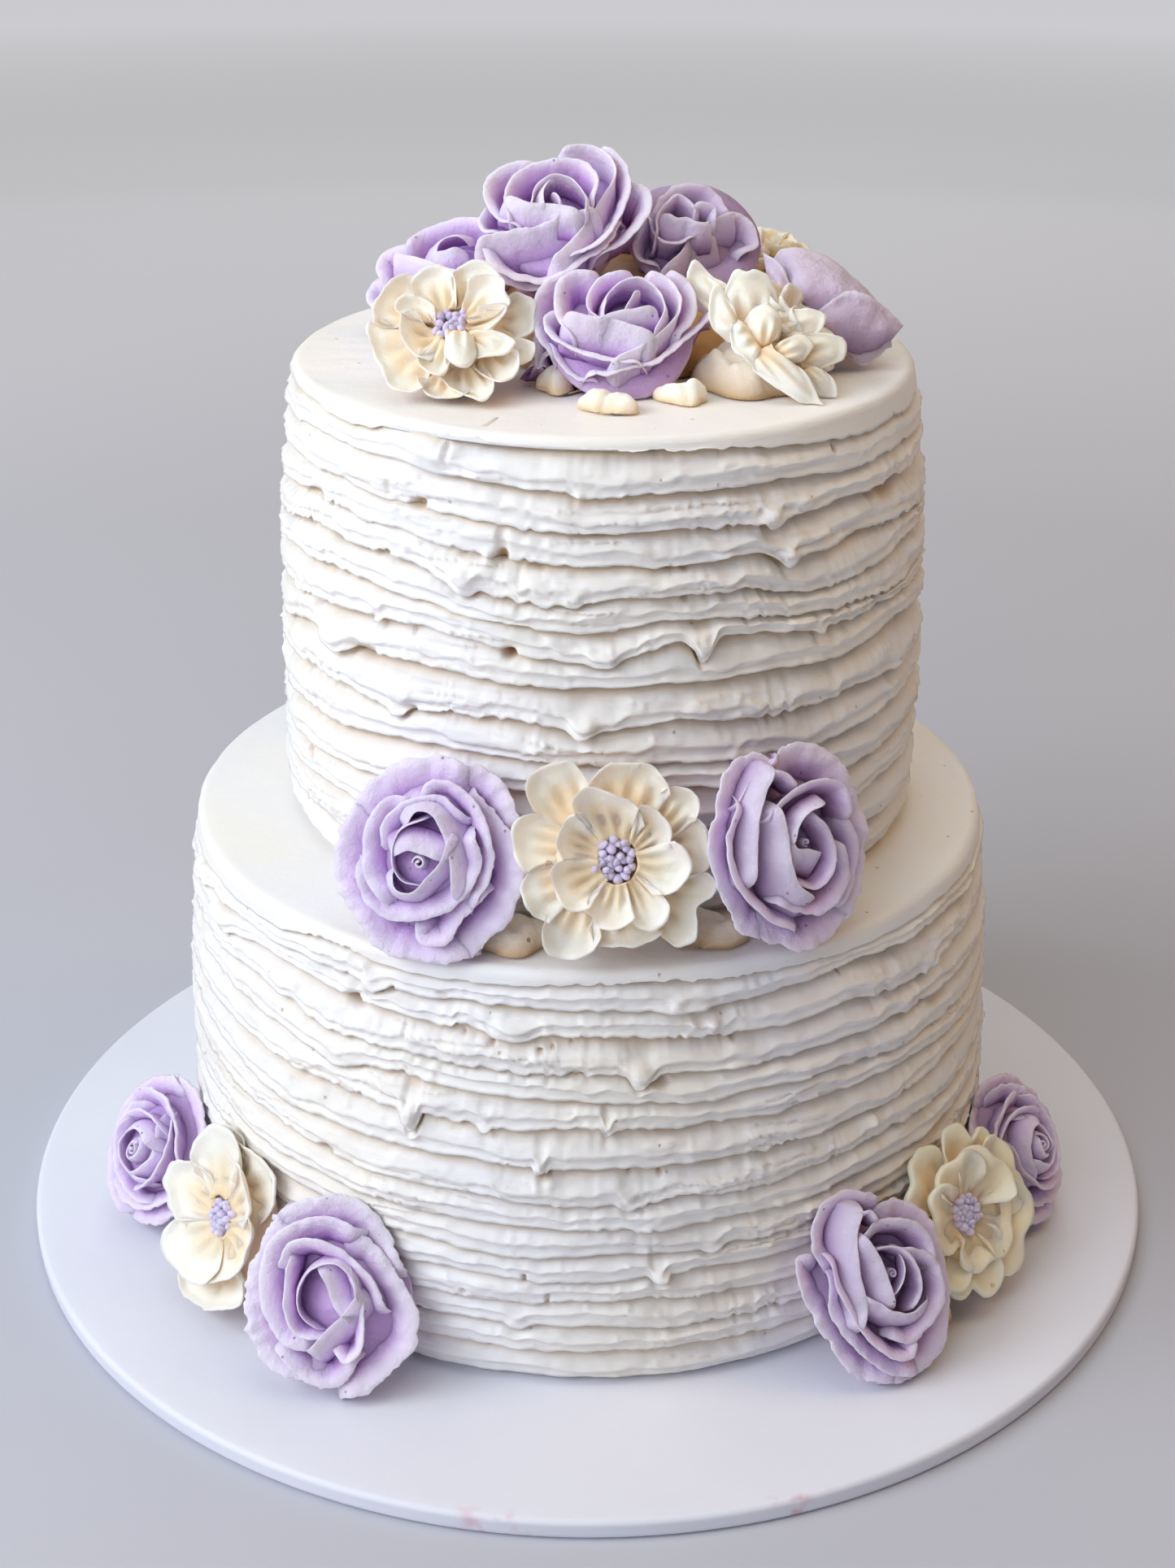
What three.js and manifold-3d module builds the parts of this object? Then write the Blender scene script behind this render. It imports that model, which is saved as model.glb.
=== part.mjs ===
// Two-tier round wedding cake on its board, in millimetres, +Z up.
// The origin is the centre of the board's underside, and the cake's front faces -Y.
// Buttercream sides are horizontal spatula ridges; piped roses and blossoms sit on the top, on the
// ledge between the tiers and at the foot.
import * as THREE from 'three';
import Module from 'manifold-3d';

const wasm = await Module();
wasm.setup();

// ---------------------------------------------------------------- driving dimensions
const gap = 0.3;                  // clearance between neighbouring pieces
const board = { radius: 152.4, thickness: 5.15, edgeRound: 0.8, columns: 60 };

const lowerTier = {
  name: 'lower_tier', centreX: 0, bottom: board.thickness + gap, top: 116.8,
  rimRadius: 101.4, footRadius: 108, swell: 43, ridges: 14, seed: 5,
};
const upperTier = {
  name: 'upper_tier', centreX: 3, bottom: lowerTier.top + gap, top: 231.6,
  rimRadius: 74.7, footRadius: 81, swell: 28, ridges: 13, seed: 11,
};
// A ridge's depth, how far its lip wanders up and down and in and out, and how far, as a share of
// the pitch, the lip stands above the recess that it shades.
const ridge = { depth: 2.3, wander: 1.1, rag: 0.7, overhang: 0.32 };
const tierColumns = 30;
const shoulder = { flat: 5, round: 2.4, drop: 5.5 };
const footTuck = { height: 14, depth: 2.2 };

// Flowers. Each is given by the middle of its outer rim, the way it faces (degrees from the front,
// positive to the right, then degrees above the horizon), its half width and half height, how far
// its heart stands above the rim, and how deep its base goes behind the rim.
const lowRose = { heart: 9, depth: 13 };          // the roses on the ledge and at the foot
const roses = [
  { name: 'rose_top_main', at: [-8.5, -8, 266], faces: [-5, 55], half: [21.5, 21.5], heart: 8, depth: 12 },
  { name: 'rose_top_front', at: [7, -35, 244.5], faces: [3, 50], half: [19.5, 19], heart: 8, depth: 11 },
  { name: 'rose_top_left', at: [-34, 12, 249.5], faces: [-35, 58], half: [18.5, 17.5], heart: 7, depth: 14 },
  { name: 'rose_top_right', at: [25, 2, 259.5], faces: [15, 50], half: [14.5, 14.5], heart: 7, depth: 10 },
  { name: 'rose_top_side', at: [66, -4, 247.5], faces: [88, 8], half: [15.5, 15], heart: 5, depth: 22 },
  { name: 'rose_top_back', at: [14.5, 25, 257.5], faces: [165, 60], half: [13, 13], heart: 6, depth: 11 },
  { name: 'rose_top_rear', at: [-17, 36, 249], faces: [-160, 45], half: [17, 17], heart: 7, depth: 11 },
  { name: 'rose_ledge_left', at: [-36.4, -88.6, 138.5], faces: [-10, 21], half: [21, 23], ...lowRose },
  { name: 'rose_ledge_right', at: [44.8, -87.6, 141], faces: [30, 21], half: [20.5, 22.6], ...lowRose },
  { name: 'rose_foot_left', at: [-58.1, -102.7, 28.5], faces: [-6, 28], half: [20.5, 24], ...lowRose },
  { name: 'rose_foot_far_left', at: [-112.5, -38.7, 26], faces: [-42, 28], half: [18, 20], ...lowRose },
  { name: 'rose_foot_right', at: [69, -97, 28], faces: [22, 28], half: [20, 24], ...lowRose },
  { name: 'rose_foot_far_right', at: [113.5, -35.5, 26.5], faces: [50, 28], half: [18, 20], ...lowRose },
];
const blossoms = [
  { name: 'blossom_top_left', at: [-31, -36, 245], faces: [-8, 50], half: [18.5, 18.5], depth: 10 },
  { name: 'blossom_top_right', at: [38, -31, 247.5], faces: [80, 40], half: [20, 19], depth: 10 },
  { name: 'blossom_top_back', at: [45, 30, 250], faces: [60, 80], half: [14, 14], depth: 18 },
  { name: 'blossom_top_rear', at: [16, 49, 244.5], faces: [170, 45], half: [15.5, 15.5], depth: 10 },
  { name: 'blossom_ledge', at: [5.1, -95, 140.5], faces: [3, 21], half: [22.5, 23], depth: 11 },
  { name: 'blossom_foot_left', at: [-93.6, -71.8, 29], faces: [-42, 28], half: [21.5, 22.5], depth: 11 },
  { name: 'blossom_foot_right', at: [94.9, -70.2, 30], faces: [44, 28], half: [22, 22.5], depth: 11 },
];

// Icing under the top flowers, and the dabs that hold the flowers and show between them.
const mound = { at: [8, 5], radius: 38, height: 26 };
const dabs = [
  { name: 'icing_dab_top_left', at: [-8.5, -33, 231.6], azimuth: 150, length: 12, radius: 5 },
  { name: 'icing_dab_top_front', at: [4.5, -52.5, 231.6], azimuth: 75, length: 12, radius: 4.8 },
  { name: 'icing_dab_top_right', at: [20, -45, 231.6], azimuth: 60, length: 12, radius: 4.8 },
  { name: 'icing_dab_top_side', at: [35, -34, 231.6], azimuth: 60, length: 24, radius: 10 },
  { name: 'icing_dab_ledge_left', at: [-17, -88, 117.1], azimuth: 100, length: 16, radius: 7 },
  { name: 'icing_dab_ledge_right', at: [27, -85, 117.1], azimuth: 70, length: 16, radius: 7 },
  { name: 'icing_dab_foot_right', at: [89, -80, 5.15], azimuth: 35, length: 14, radius: 6.5 },
];

// ---------------------------------------------------------------- colours
const finish = (color, roughness) => new THREE.MeshStandardMaterial({ color, roughness, metalness: 0 });
const materials = {
  icing: finish('#f3efe8', 0.55),
  paper: finish('#e6e7f2', 0.6),
  lilac: finish('#c3aee0', 0.6),
  ivory: finish('#f4e9d2', 0.55),
  heart: finish('#b9a3d6', 0.6),
};

// ---------------------------------------------------------------- helpers
const { sin, cos, PI, exp, max, min, floor } = Math;
const turn = 2 * PI;
const radians = THREE.MathUtils.degToRad;
const mix = THREE.MathUtils.lerp;

// A repeatable stream of numbers from 0 to 1: a linear congruential generator of 32 bits.
function stream(seed) {
  const span = 2 ** 32;
  let state = seed * 2654435761 % span;
  return () => {
    state = (state * 1664525 + 1013904223) % span;
    return state / span;
  };
}

// A smooth wave round the circle, between about -1 and 1, made of the given numbers of cycles.
function waveRound(cycles, random) {
  const parts = cycles.map((count) => ({ count, phase: turn * random(), size: 0.5 + random() }));
  const total = parts.reduce((sum, part) => sum + part.size, 0);
  const height = (angle, part) => part.size * sin(part.count * angle + part.phase);
  return (angle) => parts.reduce((sum, part) => sum + height(angle, part), 0) / total;
}

// A closed skin over rings of equal count, from a start point above to an end point below.
function ringSolid(start, rings, end) {
  const count = rings[0].length;
  const positions = [start, ...rings.flat(), end].flat();
  const last = 1 + rings.length * count;
  const index = [];
  const at = (ring, column) => 1 + ring * count + column % count;
  for (let i = 0; i < count; i++) {
    index.push(0, at(0, i), at(0, i + 1));
    index.push(last, at(rings.length - 1, i + 1), at(rings.length - 1, i));
    for (let j = 0; j + 1 < rings.length; j++) {
      index.push(at(j, i), at(j + 1, i), at(j + 1, i + 1));
      index.push(at(j, i), at(j + 1, i + 1), at(j, i + 1));
    }
  }
  return new wasm.Manifold(new wasm.Mesh({
    numProp: 3, vertProperties: new Float32Array(positions), triVerts: new Uint32Array(index),
  }));
}

// One ring of points: radius and height may be numbers or functions of the angle and column.
function ring(count, radius, height, centreX = 0, twist = 0) {
  const value = (what, angle, i) => (typeof what === 'function' ? what(angle, i) : what);
  return Array.from({ length: count }, (_, i) => {
    const angle = turn * (i + twist) / count;
    const r = value(radius, angle, i);
    return [centreX + r * cos(angle), r * sin(angle), value(height, angle, i)];
  });
}

// The piece as a named mesh in its own frame; the largest body is kept if a cut left a crumb.
function toMesh(name, solid, material, frame = new THREE.Matrix4()) {
  const whole = solid.decompose().sort((a, b) => b.volume() - a.volume())[0];
  const { vertProperties, triVerts } = whole.getMesh();
  const geometry = new THREE.BufferGeometry();
  geometry.setAttribute('position', new THREE.BufferAttribute(new Float32Array(vertProperties), 3));
  geometry.setIndex(new THREE.BufferAttribute(new Uint32Array(triVerts), 1));
  geometry.applyMatrix4(frame.clone().invert());
  const mesh = new THREE.Mesh(geometry, material);
  mesh.name = name;
  mesh.applyMatrix4(frame);
  return mesh;
}

// ---------------------------------------------------------------- board and tiers
function boardSolid() {
  const { radius, thickness, edgeRound, columns } = board;
  const rings = [
    ring(columns, radius - edgeRound, thickness),
    ring(columns, radius, thickness - edgeRound),
    ring(columns, radius, edgeRound),
    ring(columns, radius - edgeRound, 0),
  ];
  return ringSolid([0, 0, thickness], rings, [0, 0, 0]);
}

// Radius of the ridges' lips: the side swells quickly below the rim and tucks in at the foot.
function lipRadius(tier, z) {
  const swollen = tier.footRadius - (tier.footRadius - tier.rimRadius) * exp(-(tier.top - z) / tier.swell);
  const tuck = max(0, 1 - (z - tier.bottom) / footTuck.height);
  return swollen - footTuck.depth * tuck * tuck;
}

// A tier: flat top, rounded shoulder, then shingle-like ridges. Each ridge starts in a recess under
// the lip above it, slopes out and down to its own lip, and is undercut there.
function tierSolid(tier) {
  const random = stream(tier.seed);
  const pitch = (tier.top - shoulder.drop - tier.bottom) / tier.ridges;
  const tierRing = (radius, height) => ring(tierColumns, radius, height, tier.centreX);
  const rings = [
    tierRing(tier.rimRadius - shoulder.flat, tier.top),
    tierRing(tier.rimRadius - 0.8, tier.top - 0.5),
    tierRing(tier.rimRadius, tier.top - shoulder.round),
  ];
  const level = () => 0;
  let riseAbove = level;
  for (let k = 0; k < tier.ridges; k++) {
    const start = tier.top - shoulder.drop - k * pitch;
    const end = start - pitch;
    const lowest = k === tier.ridges - 1;
    const shared = riseAbove;
    const wander = waveRound([1, 2, 3, 5, 8], random);
    const rag = waveRound([4, 7, 9, 13], random);
    const rise = lowest ? level : (angle) => ridge.wander * wander(angle);
    rings.push(tierRing(lipRadius(tier, start) - ridge.depth, (angle) => start + shared(angle)));
    rings.push(tierRing(
      (angle) => lipRadius(tier, end) + ridge.rag * rag(angle),
      (angle) => end + pitch * ridge.overhang + rise(angle)));
    riseAbove = rise;
  }
  rings.push(tierRing(lipRadius(tier, tier.bottom) - 0.8, tier.bottom));
  return ringSolid([tier.centreX, 0, tier.top], rings, [tier.centreX, 0, tier.bottom]);
}

// The smooth wall that a flower leans against, the gap included.
function wallSolid(tier) {
  const steps = 5;
  const columns = 48;
  const slack = 0.6;                // for the flat facets of the wall and the lips that waver
  const rings = Array.from({ length: steps }, (_, k) => {
    const z = mix(tier.top + gap, tier.bottom, k / (steps - 1));
    return ring(columns, lipRadius(tier, min(z, tier.top)) + gap + ridge.rag + slack, z, tier.centreX);
  });
  return ringSolid([tier.centreX, 0, tier.top + gap], rings, [tier.centreX, 0, tier.bottom]);
}

// ---------------------------------------------------------------- flowers
// A frame whose +Z is the way the flower faces and whose +Y runs up the flower.
function flowerFrame(flower) {
  const [azimuth, lift] = flower.faces.map(radians);
  const facing = new THREE.Vector3(sin(azimuth) * cos(lift), -cos(azimuth) * cos(lift), sin(lift));
  const up = new THREE.Vector3(-sin(azimuth) * sin(lift), cos(azimuth) * sin(lift), cos(lift));
  const side = new THREE.Vector3().crossVectors(up, facing);
  return new THREE.Matrix4().makeBasis(side, up, facing).setPosition(...flower.at);
}

// Stretches the rings of a flower of unit rim radius to its half width and half height.
function stretched(rings, half) {
  return rings.map((points) => points.map(([x, y, z]) => [x * half[0], y * half[1], z]));
}

// How far along its petal an angle lies, from 0 at the tucked edge to 1 at the outer edge.
function alongPetal(angle, petals, phase) {
  const place = angle / turn * petals + phase;
  return place - floor(place);
}

// A piped rose: a rolled bud and three rows of petals, each row lower and wider than the one
// inside it. A petal's rim swings outwards along its length and steps back where the next begins.
const petalRows = [
  { petals: 3, rim: 0.40, valley: 0.43, height: 0.92, drop: 5.5 },
  { petals: 4, rim: 0.69, valley: 0.68, height: 0.55, drop: 5.5 },
  { petals: 5, rim: 0.96, valley: 0.88, height: 0, drop: 2.4 },
];
function roseSolid(rose, seed) {
  const columns = 18;
  const random = stream(seed);
  const rings = [
    ring(columns, 0.17, rose.heart),
    ring(columns, 0.22, rose.heart - 4.5),
  ];
  for (const row of petalRows) {
    const phase = random();
    const along = (angle) => alongPetal(angle, row.petals, phase);
    const swing = (angle) => 0.93 + 0.11 * along(angle);
    const crest = (angle) => row.height * rose.heart + 1.8 * sin(PI * along(angle)) - 0.9;
    rings.push(ring(columns, (angle) => row.rim * swing(angle), crest));
    rings.push(ring(columns, (angle) => row.valley * swing(angle), row.height * rose.heart - row.drop));
  }
  rings.push(ring(columns, 0.7, -0.55 * rose.depth));
  rings.push(ring(columns, 0.42, -rose.depth));
  const start = [0, 0, rose.heart - 2];
  return ringSolid(start, stretched(rings, rose.half), [0, 0, -rose.depth]);
}

// A piped blossom: two rows of six ruffled petals round a small flat seat for its stamens.
const blossomShape = { petals: 6, columns: 24, seat: 0.2, seatHeight: -2.2, inner: 0.6 };
function blossomSolid(blossom, seed) {
  const { petals, columns, seat, seatHeight, inner } = blossomShape;
  const ruffle = [0.82, 0.98, 1.0, 0.97];           // notch, then the round end of one petal
  const lift = [-1.8, 0.4, -0.2, 0.6];
  const random = stream(seed);
  const uneven = Array.from({ length: petals }, () => 0.94 + 0.1 * random());
  const size = (i) => ruffle[i % 4] * uneven[floor(i / 4)];
  const rim = (radius, height, twist) => ring(
    columns, (_, i) => radius * size(i), (_, i) => height + lift[i % 4], 0, twist);
  const rings = [
    ring(columns, seat, seatHeight, 0, 1),
    rim(inner * 0.62, 0.6, 1),
    rim(inner, 3.2, 1),
    rim(inner * 0.97, 2.0, 1),
    rim(inner * 0.72, -3.6, 1),
    rim(0.98, 0, -1),
    rim(0.96, -1.4, -1),
    ring(columns, 0.4, -blossom.depth, 0, 0),
  ];
  return ringSolid([0, 0, seatHeight], stretched(rings, blossom.half), [0, 0, -blossom.depth]);
}

// The tight cluster of small piped stamens in a blossom's middle, on the flat seat.
function stamenSolid(blossom) {
  const columns = 8;
  const radius = blossomShape.seat * min(...blossom.half) - gap;
  const foot = blossomShape.seatHeight + gap;
  const knob = (angle, i) => (i % 2 ? 0.5 : -0.3);
  const rings = [
    ring(columns, radius * 0.45, (a, i) => foot + 2.4 + knob(a, i)),
    ring(columns, radius, (a, i) => foot + 1.6 + knob(a, i + 1)),
    ring(columns, radius * 0.85, foot),
  ];
  return ringSolid([0, 0, foot + 2.7], rings, [0, 0, foot]);
}

// The plain space that a flower takes up, the gap included: icing gives way to it.
function flowerSpace(flower) {
  const columns = 10;
  const front = 1.5 + max(flower.heart ?? 0, 6);
  const rings = [
    ring(columns, 0.5, front),
    ring(columns, 1.13, 2),
    ring(columns, 1.13, -1),
    ring(columns, 1.02, -3.5),
    ring(columns, 0.56, -flower.depth - gap),
  ];
  return ringSolid([0, 0, front], stretched(rings, flower.half), [0, 0, -flower.depth - gap]);
}

// ---------------------------------------------------------------- icing mound and dabs
function moundSolid(grow = 0) {
  const columns = 18;
  const steps = 4;
  const wave = waveRound([2, 3, 5], stream(17));
  const [x, y] = mound.at;
  const base = upperTier.top + gap;
  const rings = Array.from({ length: steps }, (_, k) => {
    const slope = (k + 1) / steps * PI / 2;
    const reach = (angle) => grow + mound.radius * sin(slope) * (1 + 0.06 * wave(angle));
    const points = ring(columns, reach, base + (mound.height + grow) * cos(slope), x);
    return points.map((point) => [point[0], point[1] + y, point[2]]);
  });
  return ringSolid([x, y, base + mound.height + grow], rings, [x, y, base]);
}

// A dab pressed out of a bag: round where it starts and drawn out to a tail, lying on what is below.
function dabSolid(dab) {
  const columns = 8;
  const sections = [[-0.42, 0.72], [-0.18, 1], [0.12, 0.86], [0.36, 0.45]];
  const azimuth = radians(dab.azimuth);
  const along = new THREE.Vector3(sin(azimuth), -cos(azimuth), 0);
  const across = new THREE.Vector3(along.y, -along.x, 0);
  const place = (s, side, up) => [
    dab.at[0] + along.x * s + across.x * side,
    dab.at[1] + along.y * s + across.y * side,
    dab.at[2] + gap + max(0, up),
  ];
  const rings = sections.map(([s, size]) => Array.from({ length: columns }, (_, i) => {
    const angle = turn * i / columns;
    const r = dab.radius * size;
    return place(s * dab.length, r * cos(angle), r * (0.62 + 0.75 * sin(angle)));
  }));
  return ringSolid(
    place(-0.55 * dab.length, 0, 0.5 * dab.radius), rings, place(0.6 * dab.length, 0, 0.3 * dab.radius));
}

// ---------------------------------------------------------------- assembly
const cake = new THREE.Group();
cake.add(toMesh('board', boardSolid(), materials.paper));
cake.add(toMesh('lower_tier', tierSolid(lowerTier), materials.icing));
cake.add(toMesh('upper_tier', tierSolid(upperTier), materials.icing));

// Every flower is cut back where it presses on a tier's side or stands on a flat surface.
const walls = { upper: wallSolid(upperTier), lower: wallSolid(lowerTier) };
function seated(flower, solid) {
  const z = flower.at[2];
  if (z > upperTier.top) return solid.trimByPlane([0, 0, 1], upperTier.top + gap);
  if (z > lowerTier.top) return solid.subtract(walls.upper).trimByPlane([0, 0, 1], lowerTier.top + gap);
  return solid.subtract(walls.lower).trimByPlane([0, 0, 1], board.thickness + gap);
}

// Crowded flowers share the space between them: each keeps to its own side of the plane where the
// round spaces about their middles meet, and half the gap stays on either side of it.
function keptApart(flower, solid, others) {
  const middle = new THREE.Vector3(...flower.at);
  const reach = max(...flower.half);
  let kept = solid;
  for (const other of others) {
    const away = middle.clone().sub(new THREE.Vector3(...other.at));
    const distance = away.length();
    const otherReach = max(...other.half);
    if (other === flower || distance > 1.1 * (reach + otherReach)) continue;
    const share = (distance * distance + reach * reach - otherReach * otherReach) / (2 * distance);
    away.normalize();
    kept = kept.trimByPlane(away.toArray(), away.dot(middle) - share + gap / 2);
  }
  return kept;
}

const flowers = [...roses, ...blossoms];
flowers.forEach((flower, number) => {
  const isRose = roses.includes(flower);
  const frame = flowerFrame(flower);
  const plain = isRose ? roseSolid(flower, number + 1) : blossomSolid(flower, number + 1);
  const placed = keptApart(flower, seated(flower, plain.transform(frame.elements)), flowers);
  cake.add(toMesh(flower.name, placed, isRose ? materials.lilac : materials.ivory, frame));
  if (isRose) return;
  const stamens = stamenSolid(flower).transform(frame.elements);
  cake.add(toMesh(flower.name + '_stamens', keptApart(flower, stamens, flowers), materials.heart, frame));
});

function clearOfFlowers(solid) {
  return flowers.reduce(
    (left, flower) => left.subtract(flowerSpace(flower).transform(flowerFrame(flower).elements)), solid);
}
cake.add(toMesh('icing_mound_top', clearOfFlowers(moundSolid()), materials.ivory));
const moundSpace = moundSolid(2 * gap);
for (const dab of dabs) {
  const left = clearOfFlowers(dabSolid(dab)).subtract(moundSpace).subtract(walls.upper).subtract(walls.lower);
  cake.add(toMesh(dab.name, left, materials.ivory));
}

export default cake;
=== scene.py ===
"""Looks for a two-tier wedding cake in ridged off-white buttercream, with piped lilac roses and ivory
blossoms, on its paper-wrapped board. Sizes here are millimetres, and meshes are made in metres."""

from math import cos, pi, radians, sin

import bmesh
import bpy
import numpy as np
from mathutils import Matrix, Vector


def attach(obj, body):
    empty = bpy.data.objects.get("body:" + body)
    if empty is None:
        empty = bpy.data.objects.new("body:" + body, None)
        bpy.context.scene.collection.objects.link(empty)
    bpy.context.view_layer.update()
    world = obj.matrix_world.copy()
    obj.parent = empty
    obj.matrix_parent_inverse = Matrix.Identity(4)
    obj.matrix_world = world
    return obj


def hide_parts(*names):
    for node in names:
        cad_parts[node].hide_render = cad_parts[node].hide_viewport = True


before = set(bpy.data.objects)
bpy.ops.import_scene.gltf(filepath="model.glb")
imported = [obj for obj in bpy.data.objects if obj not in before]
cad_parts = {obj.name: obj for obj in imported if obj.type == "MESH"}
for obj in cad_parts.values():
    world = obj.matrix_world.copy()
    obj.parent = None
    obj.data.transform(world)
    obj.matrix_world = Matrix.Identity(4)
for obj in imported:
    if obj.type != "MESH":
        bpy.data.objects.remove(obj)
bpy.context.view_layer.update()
MM = 0.001
PER_METRE = 1000.0
TURN = 2 * pi

# ------------------------------------------------------------------ driving sizes, as in the CAD part
GAP = 0.3
BOARD = dict(radius=152.4, thickness=5.15, round=0.9)
LOWER = dict(name="lower_tier", centre=0.0, bottom=5.45, top=116.8, rim=101.4, foot=108.0, swell=43.0)
UPPER = dict(name="upper_tier", centre=3.0, bottom=117.1, top=231.6, rim=74.7, foot=81.0, swell=28.0)
TUCK = dict(height=14.0, depth=2.2)        # the side draws in above its foot

# Where a flower's outer rim has its middle, the way it faces (degrees from the front, then above the
# horizon), half its width and height, its heights before and behind the rim, and how far petals that
# follow a rule are cupped. The rose at the side is only the core behind the petals laid on it.
ROSES = {
    "rose_top_main": dict(at=(-8.5, -8, 266), faces=(-5, 55), heart=8, depth=19),
    "rose_top_front": dict(at=(7, -35, 244.5), faces=(3, 50), heart=8, depth=11),
    "rose_top_left": dict(at=(-34, 12, 249.5), faces=(-35, 58), heart=7, depth=14),
    "rose_top_right": dict(at=(25, 2, 259.5), faces=(15, 50), heart=7, depth=10),
    "rose_top_side": dict(at=(60.5, -2, 241), faces=(88, 8), half=(11.5, 9.5), heart=5, depth=22, cup=1.0),
    "rose_top_back": dict(at=(14.5, 25, 257.5), faces=(165, 60), half=(13, 13), heart=6, depth=11, cup=1.0),
    "rose_top_rear": dict(at=(-17, 36, 249), faces=(-160, 45), half=(17, 17), heart=7, depth=11, cup=1.0),
    "rose_ledge_left": dict(at=(-36.4, -88.6, 138.5), faces=(-10, 21), heart=9, depth=13),
    "rose_ledge_right": dict(at=(44.8, -87.6, 141), faces=(30, 21), heart=9, depth=13),
    "rose_foot_left": dict(at=(-58.1, -102.7, 28.5), faces=(-6, 28), heart=9, depth=13),
    "rose_foot_far_left": dict(at=(-114, -37.5, 26), faces=(-42, 28), half=(18, 20), heart=9, depth=13),
    "rose_foot_right": dict(at=(69, -97, 28), faces=(22, 28), heart=9, depth=13),
    "rose_foot_far_right": dict(at=(113.5, -35.5, 26.5), faces=(50, 28), half=(18, 20), heart=9, depth=13),
}
BLOSSOMS = {
    "blossom_top_left": dict(at=(-31, -36, 245), faces=(-8, 50), half=(18.5, 18.5), depth=10),
    "blossom_top_right": dict(at=(38, -31, 247.5), faces=(80, 40), half=(20, 19), depth=10),
    "blossom_top_back": dict(at=(43.5, 30, 248.3), faces=(60, 80), half=(12, 12), depth=16),
    "blossom_top_rear": dict(at=(16, 49, 244.5), faces=(170, 45), half=(15.5, 15.5), depth=10),
    "blossom_ledge": dict(at=(5.1, -95, 140.5), faces=(3, 21), half=(22.5, 23), depth=11),
    "blossom_foot_left": dict(at=(-91.6, -72.8, 29), faces=(-46, 28), half=(20, 22), depth=11),
    "blossom_foot_right": dict(at=(94.9, -70.2, 30), faces=(44, 28), half=(22, 22.5), depth=11),
}
# The blossom at the top right turns away, so that its core lies further back than its stamens.
TURNED_CORE = dict(at=(47, -26, 243), half=(13.5, 12.5))

# ------------------------------------------------------------------ random lumps
MIXERS = (374761393, 668265263, 1103515245, 974711)      # large odd numbers that scatter a place's bits
STIRRER = 1274126177


def lattice(x, y, z, seed):
    """Repeatable numbers from -1 to 1 at the whole points of a grid."""
    mixed = sum(part * mixer for part, mixer in zip((x, y, z, seed), MIXERS)) & 0xFFFFFFFF
    mixed = ((mixed ^ (mixed >> 13)) * STIRRER) & 0xFFFFFFFF
    return ((mixed ^ (mixed >> 16)) & 0xFFFFFF) / 0x7FFFFF - 1.0


def lumps(points, size, seed=0):
    """A smooth field from -1 to 1 with lumps of the given size."""
    place = np.asarray(points, float) / size + 1000.0
    whole = np.floor(place).astype(np.int64)
    part = smooth_step(place - whole)
    total = 0.0
    for i in (0, 1):
        for j in (0, 1):
            for k in (0, 1):
                share = 1.0
                for axis, corner in enumerate((i, j, k)):
                    share = share * (part[..., axis] if corner else 1 - part[..., axis])
                value = lattice(whole[..., 0] + i, whole[..., 1] + j, whole[..., 2] + k, seed)
                total = total + share * value
    return total


def with_lumps(values, points, *layers):
    """Values with lumps added; each layer is the lumps' height, their size in mm and their seed."""
    for height, size, seed in layers:
        values = values + height * lumps(points, size, seed)
    return values


def smooth_step(x):
    return x * x * (3 - 2 * x)


def eased(x):
    """0 below 0, 1 above 1 and a smooth rise between."""
    return smooth_step(np.clip(x, 0.0, 1.0))


def through(stations, values, at):
    """A smooth curve through the values at the stations (Catmull-Rom)."""
    stations, values = np.asarray(stations, float), np.asarray(values, float)
    slopes = np.gradient(values, stations)
    i = np.clip(np.searchsorted(stations, at) - 1, 0, len(stations) - 2)
    width = stations[i + 1] - stations[i]
    t = (at - stations[i]) / width
    start = values[i] * (1 + 2 * t) * (1 - t) ** 2 + slopes[i] * width * t * (1 - t) ** 2
    end = values[i + 1] * t * t * (3 - 2 * t) + slopes[i + 1] * width * t * t * (t - 1)
    return start + end


# ------------------------------------------------------------------ meshes
def grid_faces(rows, columns, wrap_rows=False, wrap_columns=False):
    """Quads over a grid of points numbered row by row."""
    i = np.arange(rows if wrap_rows else rows - 1)[:, None]
    j = np.arange(columns if wrap_columns else columns - 1)[None, :]
    below, right = (i + 1) % rows, (j + 1) % columns
    quads = [i * columns + j, below * columns + j, below * columns + right, i * columns + right]
    return np.stack(np.broadcast_arrays(*quads), -1).reshape(-1, 4)


def round_points(radius, angle, height):
    """Points round an upright axis."""
    return np.stack(np.broadcast_arrays(radius * np.cos(angle), radius * np.sin(angle), height), -1)


def faces_to_flat_ends(rings, columns):
    """Faces over rings of points, with a flat face on the first ring and on the last."""
    faces = grid_faces(rings, columns, False, True)[:, ::-1].tolist()
    last = (rings - 1) * columns
    faces.append(list(range(columns)))
    faces.append([last + j for j in reversed(range(columns))])
    return faces


def faces_to_middles(rings, columns):
    """Faces over rings of points, closed by fans on two more: the top's middle and the base's."""
    faces = grid_faces(rings, columns, False, True).tolist()
    last, middle = (rings - 1) * columns, rings * columns
    for j in range(columns):
        nxt = (j + 1) % columns
        faces.append((middle, j, nxt))
        faces.append((middle + 1, last + nxt, last + j))
    return faces


def piece(name, points, faces, material, node, fields):
    """A finished piece from points in millimetres, which stands for a node of the CAD part."""
    mesh = bpy.data.meshes.new(name)
    mesh.from_pydata((np.asarray(points, float) * MM).tolist(), [], [list(face) for face in faces])
    give_fields(mesh, fields)
    face_outwards(mesh)
    mesh.shade_smooth()
    made = bpy.data.objects.new(name, mesh)
    bpy.context.scene.collection.objects.link(made)
    finish_piece(made, material, node)


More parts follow.
